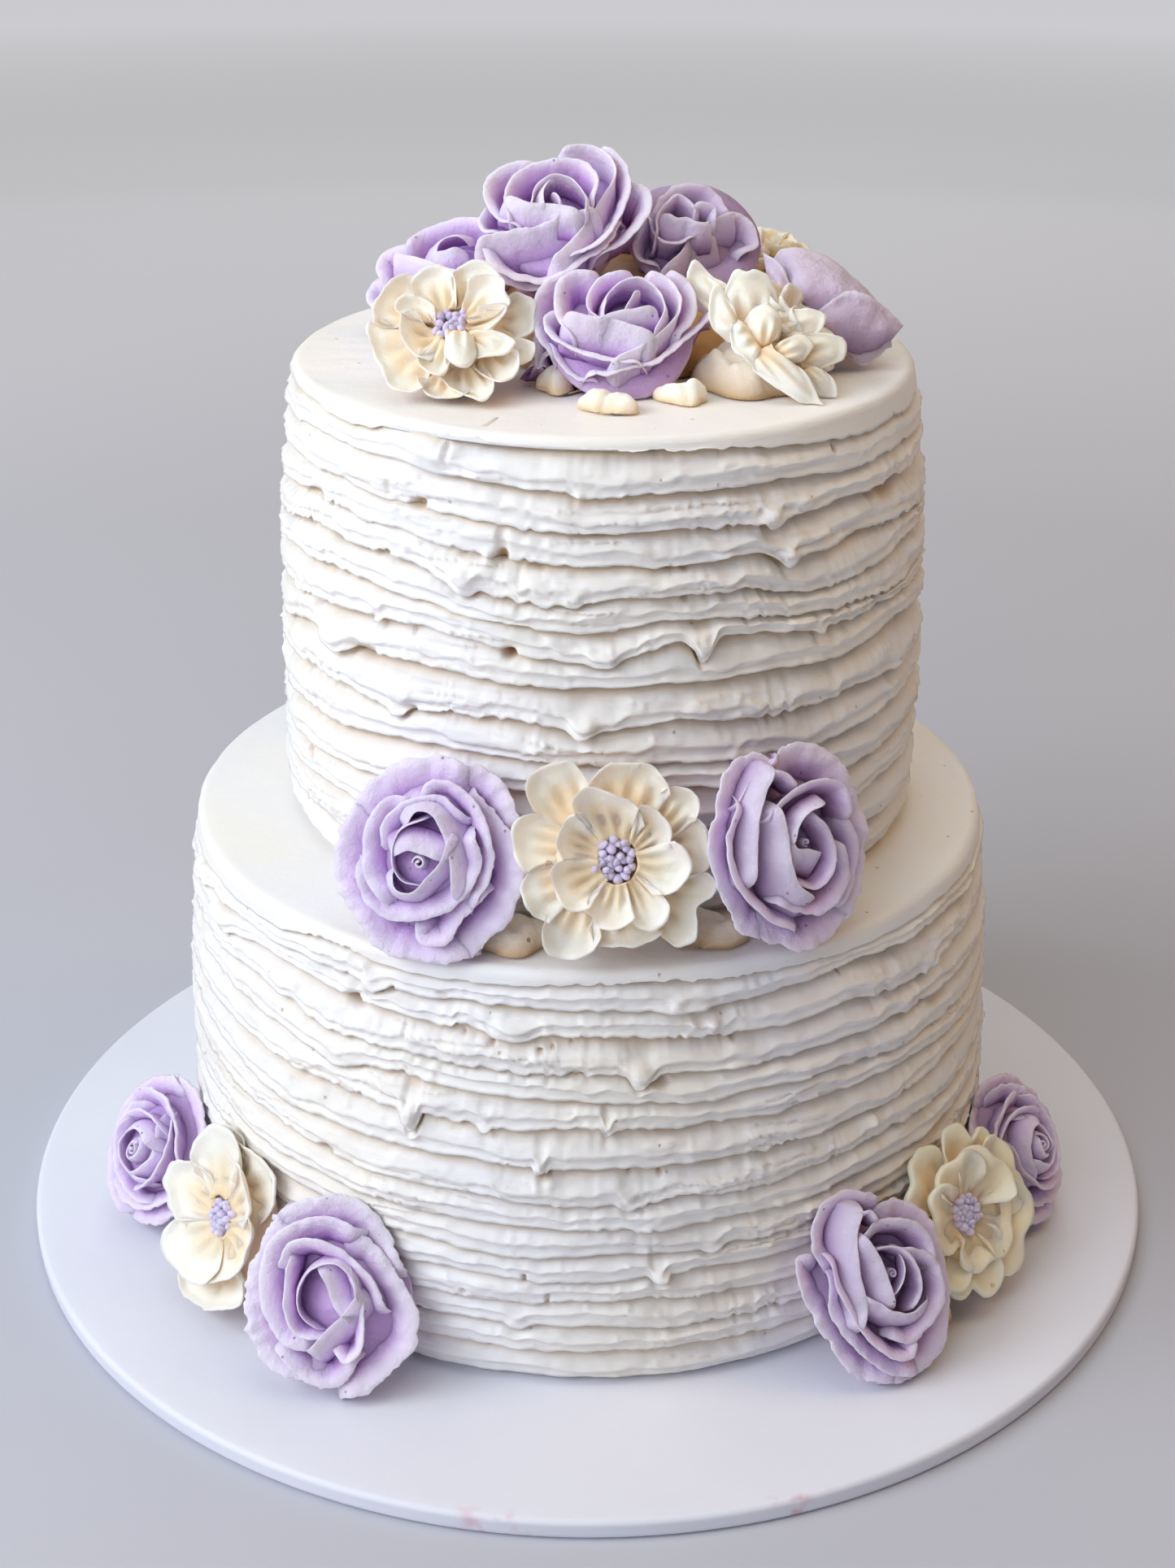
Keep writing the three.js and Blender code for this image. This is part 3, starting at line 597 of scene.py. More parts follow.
def ridged_side(tier, heights, drips, azimuth, patches):
    """The side row by row: how far inside the lips it is, its height, how much painted shade it takes in the
    recesses, and each ridge's start.
    """
    lips = lips_round(tier, heights, azimuth)
    on_lips = on_round(tier, azimuth, lip_radius(tier, lips), lips)
    smooth = smoothness(patches, azimuth, lips)
    torn = np.clip(1.3 * lumps(on_lips, (14, 14, 5), 3) + 0.35, 0, 1)
    wander = with_lumps(0, on_lips, (0.6, (22, 22, 4), 1), (0.5, (7, 7, 3), 2))
    rag = with_lumps(0, on_lips, (0.42, (2.8, 2.8, 2), 4), (0.75 * torn, (1.3, 1.3, 2), 5))
    last = len(heights) - 1
    free = np.ones((last + 1, 1))
    free[last] = 0.25
    lips = lips + free * (wander + rag * (1 - 0.6 * smooth))
    hung = ((a, height, wide, 3.0, long) for a, height, wide, long, _ in drips)
    for near, (long,) in spots(hung, tier, azimuth, lips, 1.4, (0.7 * lumps(on_lips, 2.5, 8), 0)):
        lips = lips - long * near
    for k in range(1, last + 1):
        lips[k] = np.minimum(lips[k], lips[k - 1] - RIDGE["least"])
    to_right = RIDGE["deeper_right"] * eased((azimuth - 10) / 40) * eased((150 - azimuth) / 40)
    depth = RIDGE["depth"] * (with_lumps(1, on_lips, (0.28, 24, 6)) + to_right) * (1 - smooth)
    rows, starts = [], []
    for k in range(1, last + 1):
        starts.append(len(rows))
        rows.extend(ridge_rows(tier, k, lips, azimuth, depth, smooth))
    inside, z, hollow = (np.array([row[i] + 0 * azimuth for row in rows]) for i in range(3))
    return lips, inside, z, hollow, starts


# The relief of dragged icing: broad waves, lumps, grain and drag lines, each as height, size and seed.
DRAGGED = ((0.5, (16, 16, 5), 11), (0.36, (6, 6, 2.5), 12), (0.20, (2.2, 2.2, 1.1), 13),
           (0.11, (11, 11, 0.9), 14))
# Thin second edges between the ridges: how far apart and how proud they are, and how they waver.
SECOND_EDGES = dict(apart=2.7, proud=0.75, waver=((0.6, (20, 20, 9), 31), (0.10, (5, 5, 9), 32)))
MOST_PROUD = 2.0        # how far the icing may stand out past the lips


def roughened(tier, azimuth, inside, z, hollow, marks):
    """Adds the small forms of dragged icing: thin second edges, drag lines, flakes, blobs and holes, with
    painted shade under the second edges and brown painted shade in the holes.
    """
    drips, blobs, holes = marks
    base = lip_radius(tier, z)
    at = on_round(tier, azimuth, base, z)
    radius = with_lumps(base - inside, at, *DRAGGED)
    step = with_lumps(z / SECOND_EDGES["apart"], at, *SECOND_EDGES["waver"])
    step = step - np.floor(step)
    shown = np.clip(2.2 * lumps(at, (24, 24, 6), 33) - 0.35, 0, 1) * (1 - 0.7 * hollow)
    radius = radius + SECOND_EDGES["proud"] * shown * (1 - step)
    # Painted shade under each thin second edge.
    hollow = np.maximum(hollow, 0.55 * shown * eased((step - 0.72) / 0.28))
    flaky = np.clip(lumps(at, 13, 35) + 0.4, 0, 1)
    flakes = np.clip(lumps(at, (2.4, 2.4, 1.3), 34) - 0.32, 0, 1) * flaky
    radius = radius + 1.1 * flakes * (1 - hollow)
    drift = (1.1 * lumps(at, 3.6, 41), 0.55 * lumps(at, 2.6, 42))
    for near, (bulge,) in spots(blobs, tier, azimuth, z, 1.8, drift):
        radius = radius + bulge * near * (1 + 0.4 * lumps(at, 2.0, 15))
    hung = ((a, height - 0.45 * long, wide, 0.6 * long + 0.8, bulge)
            for a, height, wide, long, bulge in drips)
    for near, (bulge,) in spots(hung, tier, azimuth, z, 1.8, drift):
        radius = radius + bulge * near
    # Holes and tears take a brown painted shade.
    hole_shade = np.zeros_like(radius)
    for near, (deep, hole_shade_share) in spots(holes, tier, azimuth, z, 1.8, (0.5 * drift[0], 0.5 * drift[1])):
        radius = radius - deep * near
        hole_shade = np.maximum(hole_shade, hole_shade_share * near)
    return np.minimum(radius, base + MOST_PROUD), hollow, hole_shade


def build_tier(tier, heights, marks, patches, steps, bands):
    """A tier's icing: its top, and its side in bands of ridges, each one a closed ring."""
    azimuth = tier_columns(*steps)
    columns = len(azimuth)
    lips, inside, z, hollow, starts = ridged_side(tier, heights, marks[0], azimuth, patches)
    smooth = smoothness(patches, azimuth, z)
    inside = inside * (1 - 0.75 * smooth) + 0.5 * smooth
    # Smoothed patches take less painted shade.
    hollow = hollow * (1 - 0.8 * smooth)
    radius, hollow, hole_shade = roughened(tier, azimuth, inside, z, hollow, marks)
    rim_band(tier, azimuth, lips[0], radius[0], z[0])
    cuts = [starts[b] for b in bands] + [len(z)]
    for number, (first, end) in enumerate(zip(cuts, cuts[1:])):
        last = min(end + 1, len(z))
        part = slice(first, last)
        all_radius, all_z, closing_z = [radius[part]], [z[part]], z[last - 1]
        if end == len(z):
            closing_z = np.full(columns, tier["bottom"])
            all_radius.append((radius[last - 1] - 1.6)[None])
            all_z.append(closing_z[None])
        all_radius.append(np.full((2, columns), tier["rim"] - WALL))
        all_z.append(np.array([closing_z, z[first]]))
        r, height = np.concatenate(all_radius), np.concatenate(all_z)
        pad = np.zeros((len(r) - (last - first), columns))
        fields = {"hollow": np.concatenate([hollow[part], pad]), "hole_shade": np.concatenate([hole_shade[part], pad])}
        piece(f"{tier['name']}_ridges_{number + 1}", on_round(tier, azimuth, r, height).reshape(-1, 3),
              grid_faces(len(r), columns, True, True), icing, tier["name"], fields)


# A tier's rim: how far it lies under the tier's height, its edge's radius, how far inside the lips.
RIM_BAND = dict(sunk=0.28, edge=2.4, inside=0.35)


def rim_band(tier, azimuth, lip, next_radius, next_z):
    """The flat top with its rounded rim and the smooth band down to the first lip."""
    level, rim, edge = tier["top"] - RIM_BAND["sunk"], tier["rim"], RIM_BAND["edge"]
    rings_r, rings_z = [], []
    for r in (*np.linspace(3.0, rim - 12, 13), *np.linspace(rim - 9, rim - 3.2, 5)):
        at = on_round(tier, azimuth, r, 0.0)
        swirl = with_lumps(0, at, (0.16, 26, 21), (0.07, (9, 4, 4), 22))
        rings_r.append(r + 0 * azimuth)
        rings_z.append(level + swirl)
    for t in np.linspace(0, 1, 7):
        at = on_round(tier, azimuth, rim, tier["top"] - 3 * t)
        uneven = with_lumps(0, at, (0.3, 15, 23), (0.14, 5, 24))
        rings_r.append(rim - edge + edge * sin(t * pi / 2) + uneven * t)
        rings_z.append(level - edge * (1 - cos(t * pi / 2)) + 0.25 * uneven)
    start_z, start_r = rings_z[-1], rings_r[-1]
    edge_r = np.maximum(lip_radius(tier, lip) - RIM_BAND["inside"], start_r)
    for t in np.linspace(0.2, 1, 5):
        at = on_round(tier, azimuth, edge_r, lip + 2 * t)
        rings_r.append(start_r + (edge_r - start_r) * t + 0.2 * lumps(at, 8, 25) * t)
        rings_z.append(start_z + (lip - start_z) * t)
    rings_r += [next_radius - 0.6, rim - WALL + 0 * azimuth]
    rings_z += [np.minimum(lip + 0.1, next_z), lip - 4.0]
    rings = len(rings_r)
    columns = len(azimuth)
    points = on_round(tier, azimuth, np.array(rings_r), np.array(rings_z)).reshape(-1, 3)
    middles = [[tier["centre"], 0, level], [tier["centre"], 0, tier["top"] - 8]]
    points = np.concatenate([points, middles])
    hollow = np.zeros(len(points))
    # The two hidden rings inside the tier take full painted shade.
    hollow[(rings - 2) * columns:] = 1.0
    piece(f"{tier['name']}_top", points, faces_to_middles(rings, columns), icing,
          tier["name"], {"hollow": hollow, "hole_shade": np.zeros(len(points))})


# Steps are the degrees between columns in front and at the back; bands are the ridges that start a piece.
build_tier(LOWER, LOWER_LIPS, (LOWER_DRIPS, LOWER_BLOBS, LOWER_HOLES), LOWER_SMOOTH,
           steps=(0.27, 0.62), bands=(0, 3, 6, 9, 12))
build_tier(UPPER, UPPER_LIPS, (UPPER_DRIPS, UPPER_BLOBS, UPPER_HOLES), UPPER_SMOOTH,
           steps=(0.33, 0.75), bands=(0, 4, 7, 10))

# ------------------------------------------------------------------ flowers
# The front view: its frame in pixels, the lens and the frame's height on the sensor, where the eye is in
# mm, how far it looks down in degrees, and its slight roll in radians.
VIEW = dict(across=1445, down=1929, lens=52.915, sensor=36.0, eye=(-0.347, -547.84, 372.49), dip=25.1145,
            roll=0.00292)


def view_turn():
    return Matrix.Rotation(radians(90 - VIEW["dip"]), 4, "X") @ Matrix.Rotation(VIEW["roll"], 4, "Z")


def from_view(flower, heights, marks):
    """Places of a flower in mm across, up and above its plane, from marks in the front view: each one's
    pixels from the left and from the top. The heights above the plane pass evenly through those given."""
    marks = np.reshape(marks, (-1, 2)).tolist()
    heights = np.atleast_1d(heights)
    heights = np.interp(np.linspace(0, 1, len(marks)), np.linspace(0, 1, len(heights)), heights)
    to_plane = flower_frame(flower).inverted()
    eye = to_plane @ Vector(VIEW["eye"])
    turn = to_plane.to_3x3() @ view_turn().to_3x3()
    focal = VIEW["lens"] / VIEW["sensor"] * VIEW["down"]
    places = []
    for (left, top), height in zip(marks, heights):
        ray = turn @ Vector((left - VIEW["across"] / 2, VIEW["down"] / 2 - top, -focal))
        places.append(tuple(eye + ray * ((height - eye.z) / ray.z)))
    return places


def flower_frame(flower):
    """A matrix whose third axis is the way the flower faces and whose second runs up it."""
    azimuth, lift = (radians(a) for a in flower["faces"])
    facing = Vector((sin(azimuth) * cos(lift), -cos(azimuth) * cos(lift), sin(lift)))
    up = Vector((-sin(azimuth) * sin(lift), cos(azimuth) * sin(lift), cos(lift)))
    side = up.cross(facing)
    turned = Matrix((side, up, facing)).transposed().to_4x4()
    return Matrix.Translation(Vector(flower["at"])) @ turned


# How flowers rest on the cake: how far petals stay off the ridges, and the share of their form that is
# left where they are pressed flat on a level or against a side.
REST = dict(off_ridges=0.5, on_level=0.02, on_side=0.05)


def resting_height(flower):
    z = flower["at"][2]
    if z > UPPER["top"]:
        return UPPER["top"] + GAP
    return (LOWER["top"] if z > LOWER["top"] else BOARD["thickness"]) + GAP


def placed(points, flower):
    """Flower points in the cake's frame, flattened where the flower rests on or leans against the cake."""
    turned = np.array(flower_frame(flower))
    out = points @ turned[:3, :3].T + turned[:3, 3]
    floor = resting_height(flower)
    low = out[:, 2] < floor
    out[low, 2] = floor + REST["on_level"] * (out[low, 2] - floor)
    for tier in (LOWER, UPPER):
        from_middle = out[:, :2] - (tier["centre"], 0.0)
        radius = np.linalg.norm(from_middle, axis=1)
        clear = lip_radius(tier, np.clip(out[:, 2], tier["bottom"], tier["top"])) + REST["off_ridges"]
        inside = (radius < clear) & (out[:, 2] < tier["top"] - 1.0) & (out[:, 2] > tier["bottom"])
        pushed = clear + REST["on_side"] * (radius - clear)
        share = np.where(inside, pushed / np.maximum(radius, 1.0), 1.0)[:, None]
        out[:, :2] = (tier["centre"], 0.0) + from_middle * share
    return out


SECTION_STEPS = 9       # points across a piped petal, from its base to its rim


def petal_shell(shells, line, out, base, rim, bend, thick, seed, rag):
    """One piped petal as a closed shell that runs along a line in the flower's plane. base and rim are
    (distance from the line, height), measured along the outward directions; bend is where the section's
    control point lies between them, and thick is the base and rim thickness."""
    v = np.linspace(0, 1, SECTION_STEPS)[None, :]
    base_r, base_z = (np.asarray(b, float)[:, None] for b in base)
    rim_r, rim_z = (np.asarray(b, float)[:, None] for b in rim)
    bend_r = base_r + bend[0] * (rim_r - base_r)
    bend_z = base_z + bend[1] * (rim_z - base_z)
    r = base_r * (1 - v) ** 2 + 2 * bend_r * v * (1 - v) + rim_r * v ** 2
    z = base_z * (1 - v) ** 2 + 2 * bend_z * v * (1 - v) + rim_z * v ** 2
    flat = line[:, None] + out[:, None] * r[..., None]
    here = np.concatenate([flat, z[..., None] + 0 * r[..., None]], -1)
    notches = np.clip(-lumps(here, 3.6, seed + 5) - 0.35, 0, 1)
    torn = with_lumps(0, here, (0.45, 2.2, seed), (0.4, 1.0, seed + 1))
    ragged = rag * (torn - 1.3 * notches) * v ** 6
    fold = with_lumps(0, here, (0.6 * v, 7.0, seed + 2), (0.16 + 0.24 * rag, 2.2, seed + 3))
    dr, dz = np.gradient(r, axis=1), np.gradient(z, axis=1)
    length = np.sqrt(dr * dr + dz * dz) + 1e-9
    dr, dz = dr / length, dz / length
    r, z = r + ragged * dr - fold * dz, z + ragged * dz + fold * dr
    columns = len(line)
    ends = np.sqrt(np.clip(np.sin(np.linspace(0.04, 0.96, columns) * pi), 0, 1))[:, None]
    half = 0.5 * (thick[0] + (thick[1] - thick[0]) * v ** 0.6) * (0.35 + 0.65 * ends)
    outer = np.stack([r + dz * half, z - dr * half], -1)
    inner = np.stack([r - dz * half, z + dr * half], -1)
    tip = np.stack([r + dr * half * 0.9, z + dz * half * 0.9], -1)[:, -1:]
    loop = np.concatenate([outer, tip, inner[:, ::-1]], 1)
    points = np.concatenate([line[:, None] + out[:, None] * loop[..., :1], loop[..., 1:]], -1)
    along = np.concatenate([v + 0 * r, np.ones((columns, 1)), (v + 0 * r)[:, ::-1]], 1)
    # Painted highlight towards the rim, and painted shade from the base most of the way out.
    edge = 0.5 * np.clip((along - 0.8) / 0.2, 0, 1) ** 1.5 * (0.6 + 0.4 * ends)
    hollow = np.clip(1 - along / 0.8, 0, 1) ** 1.1
    shells.add(points, petal_faces(columns, loop.shape[1]), edge, hollow)


def petal_faces(columns, count):
    """Faces along a petal whose section is a loop of points, with a strip of quads over either end."""
    faces = grid_faces(columns, count, False, True).tolist()
    last, tip = (columns - 1) * count, SECTION_STEPS
    for i in range(SECTION_STEPS - 1):
        j = count - 1 - i
        faces.append((i, i + 1, j - 1, j))
        faces.append((last + i, last + j, last + j - 1, last + i + 1))
    faces.append((tip - 1, tip, tip + 1))
    faces.append((last + tip - 1, last + tip + 1, last + tip))
    return faces


def slab(shells, upper, lower, edge, hollow):
    """Closes two matching grids of points, one over the other, into a shell."""
    rows, columns = upper.shape[:2]
    count = rows * columns
    top_faces = grid_faces(rows, columns)[:, ::-1]
    faces = top_faces.tolist() + (top_faces[:, ::-1] + count).tolist()
    number = np.arange(count).reshape(rows, columns)
    border = [*number[:, 0], *number[-1, 1:], *number[-2::-1, -1], *number[0, -2:0:-1]]
    for first, second in zip(border, border[1:] + border[:1]):
        faces.append((first, second, second + count, first + count))
    points = np.concatenate([upper.reshape(-1, 3), lower.reshape(-1, 3)])
    # The underside takes more painted shade than the top.
    shells.add(points, faces, np.concatenate([edge.ravel(), edge.ravel()]),
               np.concatenate([hollow.ravel(), hollow.ravel() * 0.6 + 0.3]))


def turned_core(shells, profile, size, columns, hollow, seed=None):
    """The solid icing that carries the petals: a profile turned round, each point a radius for a flower of
    unit size and a height, with painted shade given ring by ring. A seed makes it uneven."""
    angle = np.linspace(0, TURN, columns, endpoint=False)
    radius, height = np.array(profile).T[..., None]
    rings = round_points(size * radius, angle, height)
    if seed is not None:
        rings[..., :2] *= with_lumps(1, rings, (0.06, 8.0, seed + 9))[..., None]
    shells.add(rings, faces_to_flat_ends(len(profile), columns), np.zeros(rings.size // 3),
               np.repeat(hollow, columns))


def round_petal(shells, angle, base, rim, bend, thick, seed, rag):
    """A petal shell that runs round the flower's middle."""
    out = np.stack([np.cos(angle), np.sin(angle)], -1)
    petal_shell(shells, 0 * out, out, base, rim, bend, thick, seed, rag)


def smooth_line(marks, spacing):
    """Evenly spaced points on a smooth curve through a few marks."""
    marks = np.asarray(marks, float)
    lengths = np.linalg.norm(np.diff(marks, axis=0), axis=1)
    stations = np.concatenate([[0.0], np.cumsum(lengths)])
    at = np.linspace(0, stations[-1], int(stations[-1] / spacing) + 8)
    return np.stack([through(stations, marks[:, i], at) for i in range(marks.shape[1])], -1)


TAIL = 2.2      # how far a petal runs on and sinks past its last marks


def tail(marks, end, beside):
    """A point past one end of a petal's marks, where its rim has sunk."""
    onward = marks[end] - marks[beside]
    return marks[end] + onward / np.linalg.norm(onward) * TAIL - (0, 0, TAIL)


def rim_petal(shells, middle, lean, drop, rag, thick, marks, seed):
    """A petal given by a few marks on its rim, in mm across, up and above the flower's plane. Its foot
    lies lean mm further out (a pair gives both ends) and drop mm lower."""
    rim = smooth_line([tail(marks, 0, 1), *marks, tail(marks, -1, -2)], 0.85)
    travel = np.gradient(rim[:, :2], axis=0)
    lean = np.linspace(*(lean if isinstance(lean, tuple) else (lean, lean)), len(rim))
    if np.sum((rim[:, 0] - middle[0]) * travel[:, 1] - (rim[:, 1] - middle[1]) * travel[:, 0]) < 0:
        rim, travel, lean = rim[::-1], -travel[::-1], lean[::-1]
    out = np.stack([travel[:, 1], -travel[:, 0]], -1)
    out = out / np.linalg.norm(out, axis=1)[:, None]
    u = np.linspace(0, 1, len(rim))
    arch = np.sqrt(np.clip(u / 0.07, 0, 1) * np.clip((1 - u) / 0.07, 0, 1))
    foot_z = marks[:, 2].min() - drop
    top = rim[:, 2] - 0.35 * (1 - arch) * (rim[:, 2] - foot_z)
    opens = (lean.mean() < 0) * 1.0
    bend = (0.05 + 0.3 * opens, 0.55 + 0.45 * opens)
    base = (lean * (0.5 + 0.5 * arch), foot_z + 0 * u)
    walls = (1.6 + 0.5 * opens, 0.38 * thick)
    petal_shell(shells, rim[:, :2], out, base, (0 * u, top), bend, walls, seed, rag)


# Flowers whose petals are laid one by one: the plane that they are laid on, and each petal's bulge
# (below 0 where it is cupped), thickness and raggedness, then heights and marks in the front view (see
# from_view) along its foot and along its rim.
LAID_PETALS = {}
LAID_PETALS["rose_top_side"] = (dict(at=(64, -12, 244), faces=(0, 25)), (
    (8, 1.3, 0.5, (2, 4, 0), (975, 385, 1000, 398, 1040, 405, 1085, 392),
     (-5, -5, -3), (946, 330, 958, 309, 985, 306, 1012, 314, 1045, 338, 1070, 360, 1092, 382)),
    (2, 1, 0.3, (1, 3, 4), (944, 350, 952, 374, 966, 392),
     (1, 3.2, 5), (938, 311, 958, 325, 972, 352, 979, 384)),
    (3, 1.2, 0.5, (6, 4.5, 1), (1010, 406, 1035, 428, 1066, 437, 1096, 419),
     (7, 6.2, 1), (1003, 384, 1022, 371, 1040, 358, 1062, 363, 1086, 377, 1112, 400)),
    (2, 1.1, 0.9, (3, 3, 1), (1034, 424, 1060, 431, 1094, 414),
     (1, 1, -1), (1037, 438, 1052, 449, 1068, 448, 1082, 436, 1097, 426)),
))
LAID_PETALS["blossom_top_right"] = (dict(at=(41, -36, 243), faces=(0, 25)), (
    (1.5, 1.5, 0.5, -4, (876, 388, 890, 378, 902, 366),
     (-5, -5, -4), (858, 380, 847, 350, 856, 326, 873, 338, 893, 350)),
    (2, 1.4, 0.5, (-2, -1, -2), (900, 397, 925, 407, 950, 398),
     (-3, -2, -3), (892, 378, 895, 350, 906, 333, 920, 338, 938, 338, 951, 358, 956, 380)),
    (2.5, 1.4, 0.4, 3, (906, 422, 911, 406, 905, 390),
     (2, 3.5, 3), (893, 419, 875, 400, 872, 375, 880, 355, 892, 364, 899, 388)),
    (1.5, 1.4, 0.6, (-1, 0, 0), (950, 397, 957, 407, 966, 417),
     (-2, -2, 0), (956, 386, 962, 367, 970, 379, 992, 381, 1015, 388, 1012, 403, 986, 416)),
    (3.5, 1.6, 0.3, (3, 4, 3), (924, 428, 940, 428, 952, 421),
     (2, 3, 2), (914, 400, 928, 383, 943, 376, 956, 386, 960, 403, 957, 416)),
    (1.5, 1.4, 0.7, 1, (974, 424, 981, 440, 986, 452),
     (0, -1, 0), (984, 414, 1010, 411, 1040, 423, 1036, 440, 1018, 449, 1004, 456)),
    (3.5, 1.6, 0.3, 4, (951, 428, 956, 440, 965, 447),
     3, (965, 418, 984, 414, 998, 428, 988, 443, 970, 446)),
    (1.5, 1.4, 0.5, 2, (984, 466, 990, 455, 1001, 450),
     (1, 0, 1), (998, 480, 1006, 493, 1029, 493, 1024, 470, 1010, 457)),
    (2, 1.4, 0.5, 5, (916, 398, 928, 415, 940, 434),
     (4.5, 5, 5), (904, 393, 896, 406, 900, 426, 914, 441, 929, 454)),
    (2.5, 1.5, 0.5, 6, (926, 440, 935, 431, 946, 424),
     (6, 5, 6), (929, 455, 955, 476, 986, 495, 1010, 503, 1003, 484, 985, 457, 963, 444, 951, 428)),
))
LAID_PETALS["blossom_ledge"] = (BLOSSOMS["blossom_ledge"], (
    (-1.3, 1.2, 0.4, -2, (690, 1018, 704, 1004, 722, 992),
     (-0.5, 0.2, 0), (657, 994, 650, 975, 656, 954, 676, 942, 700, 940, 713, 953, 721, 968)),
    (-1.6, 1.2, 0.4, -1.5, (742, 1006, 772, 998, 800, 1008),
     (0, 0.4, 0), (726, 964, 740, 948, 762, 939, 785, 937, 803, 943, 815, 958, 822, 974)),
    (-1, 1.2, 0.7, -2.4, (798, 1004, 812, 1018, 824, 1032),
     (-0.8, -0.6, -1), (818, 970, 834, 966, 852, 974, 858, 990, 855, 1006)),
    (-1.3, 1.2, 0.4, -3, (812, 1022, 820, 1042, 824, 1060),
     (-1.8, -1.7, -2), (856, 1006, 867, 1018, 871, 1042, 871, 1064, 860, 1076, 846, 1079)),
    (-1.3, 1.2, 0.5, -2.4, (818, 1076, 812, 1098, 796, 1116),
     (-1.4, -0.8, -1), (868, 1076, 877, 1090, 872, 1104, 856, 1114, 855, 1132, 854, 1150, 836, 1160,
      816, 1150)),
    (-1.3, 1.2, 0.4, -2, (778, 1110, 756, 1118, 736, 1114),
     (-0.8, -0.4, -0.8), (812, 1148, 796, 1160, 772, 1164, 750, 1166, 734, 1160, 726, 1146)),
    (-1.3, 1.2, 0.4, -2, (736, 1106, 716, 1100, 704, 1086),
     (-0.4, 0.2, 0), (736, 1154, 722, 1172, 698, 1176, 676, 1168, 668, 1150, 672, 1132)),
    (-1.3, 1.2, 0.4, -2, (714, 1094, 702, 1080, 698, 1062),
     (0.2, 0.5, 0.2), (676, 1131, 654, 1122, 644, 1106, 644, 1086, 652, 1070, 672, 1063)),
    (-1, 1.2, 0.4, -2.4, (704, 1060, 700, 1040, 704, 1022),
     (-1, -0.6, -0.8), (648, 1070, 638, 1056, 632, 1036, 634, 1016, 644, 1006, 660, 1002)),
    (-2.1, 1.1, 0.3, 1.2, (742, 1036, 756, 1031, 773, 1040),
     (3.2, 3.6, 3), (708, 1000, 705, 982, 722, 968, 744, 973, 767, 982, 784, 997, 790, 1012)),
    (-2.1, 1.1, 0.3, 1, (743, 1038, 738, 1046, 736, 1056),
     (3.2, 3.6, 3.2), (712, 1000, 697, 1007, 686, 1022, 684, 1040, 692, 1055)),
    (-2.1, 1.1, 0.3, 1.2, (736, 1058, 739, 1070, 747, 1081),
     (3.4, 3.8, 3.4), (700, 1057, 684, 1066, 678, 1086, 686, 1106, 704, 1117, 724, 1113)),
    (-1.2, 1.1, 0.3, 1.2, (744, 1083, 756, 1088, 769, 1085),
     (2.8, 3.2, 3), (722, 1108, 729, 1125, 738, 1140, 753, 1143, 767, 1138, 778, 1129)),
    (-1.3, 1.1, 0.3, 1, (766, 1087, 776, 1081, 782, 1072),
     (2.6, 3, 2.6), (774, 1130, 790, 1141, 805, 1146, 818, 1134, 822, 1116, 812, 1100)),
    (-1, 1.1, 0.3, 1.6, (780, 1076, 784, 1064, 781, 1050),
     (3, 3.6, 3), (804, 1098, 826, 1097, 842, 1084, 847, 1063, 840, 1047, 826, 1037)),
    (-2.1, 1.1, 0.3, 1, (782, 1052, 780, 1043, 774, 1036),
     (3, 3.5, 3.2), (826, 1040, 824, 1020, 815, 1003, 800, 990, 790, 989, 784, 1000)),
))
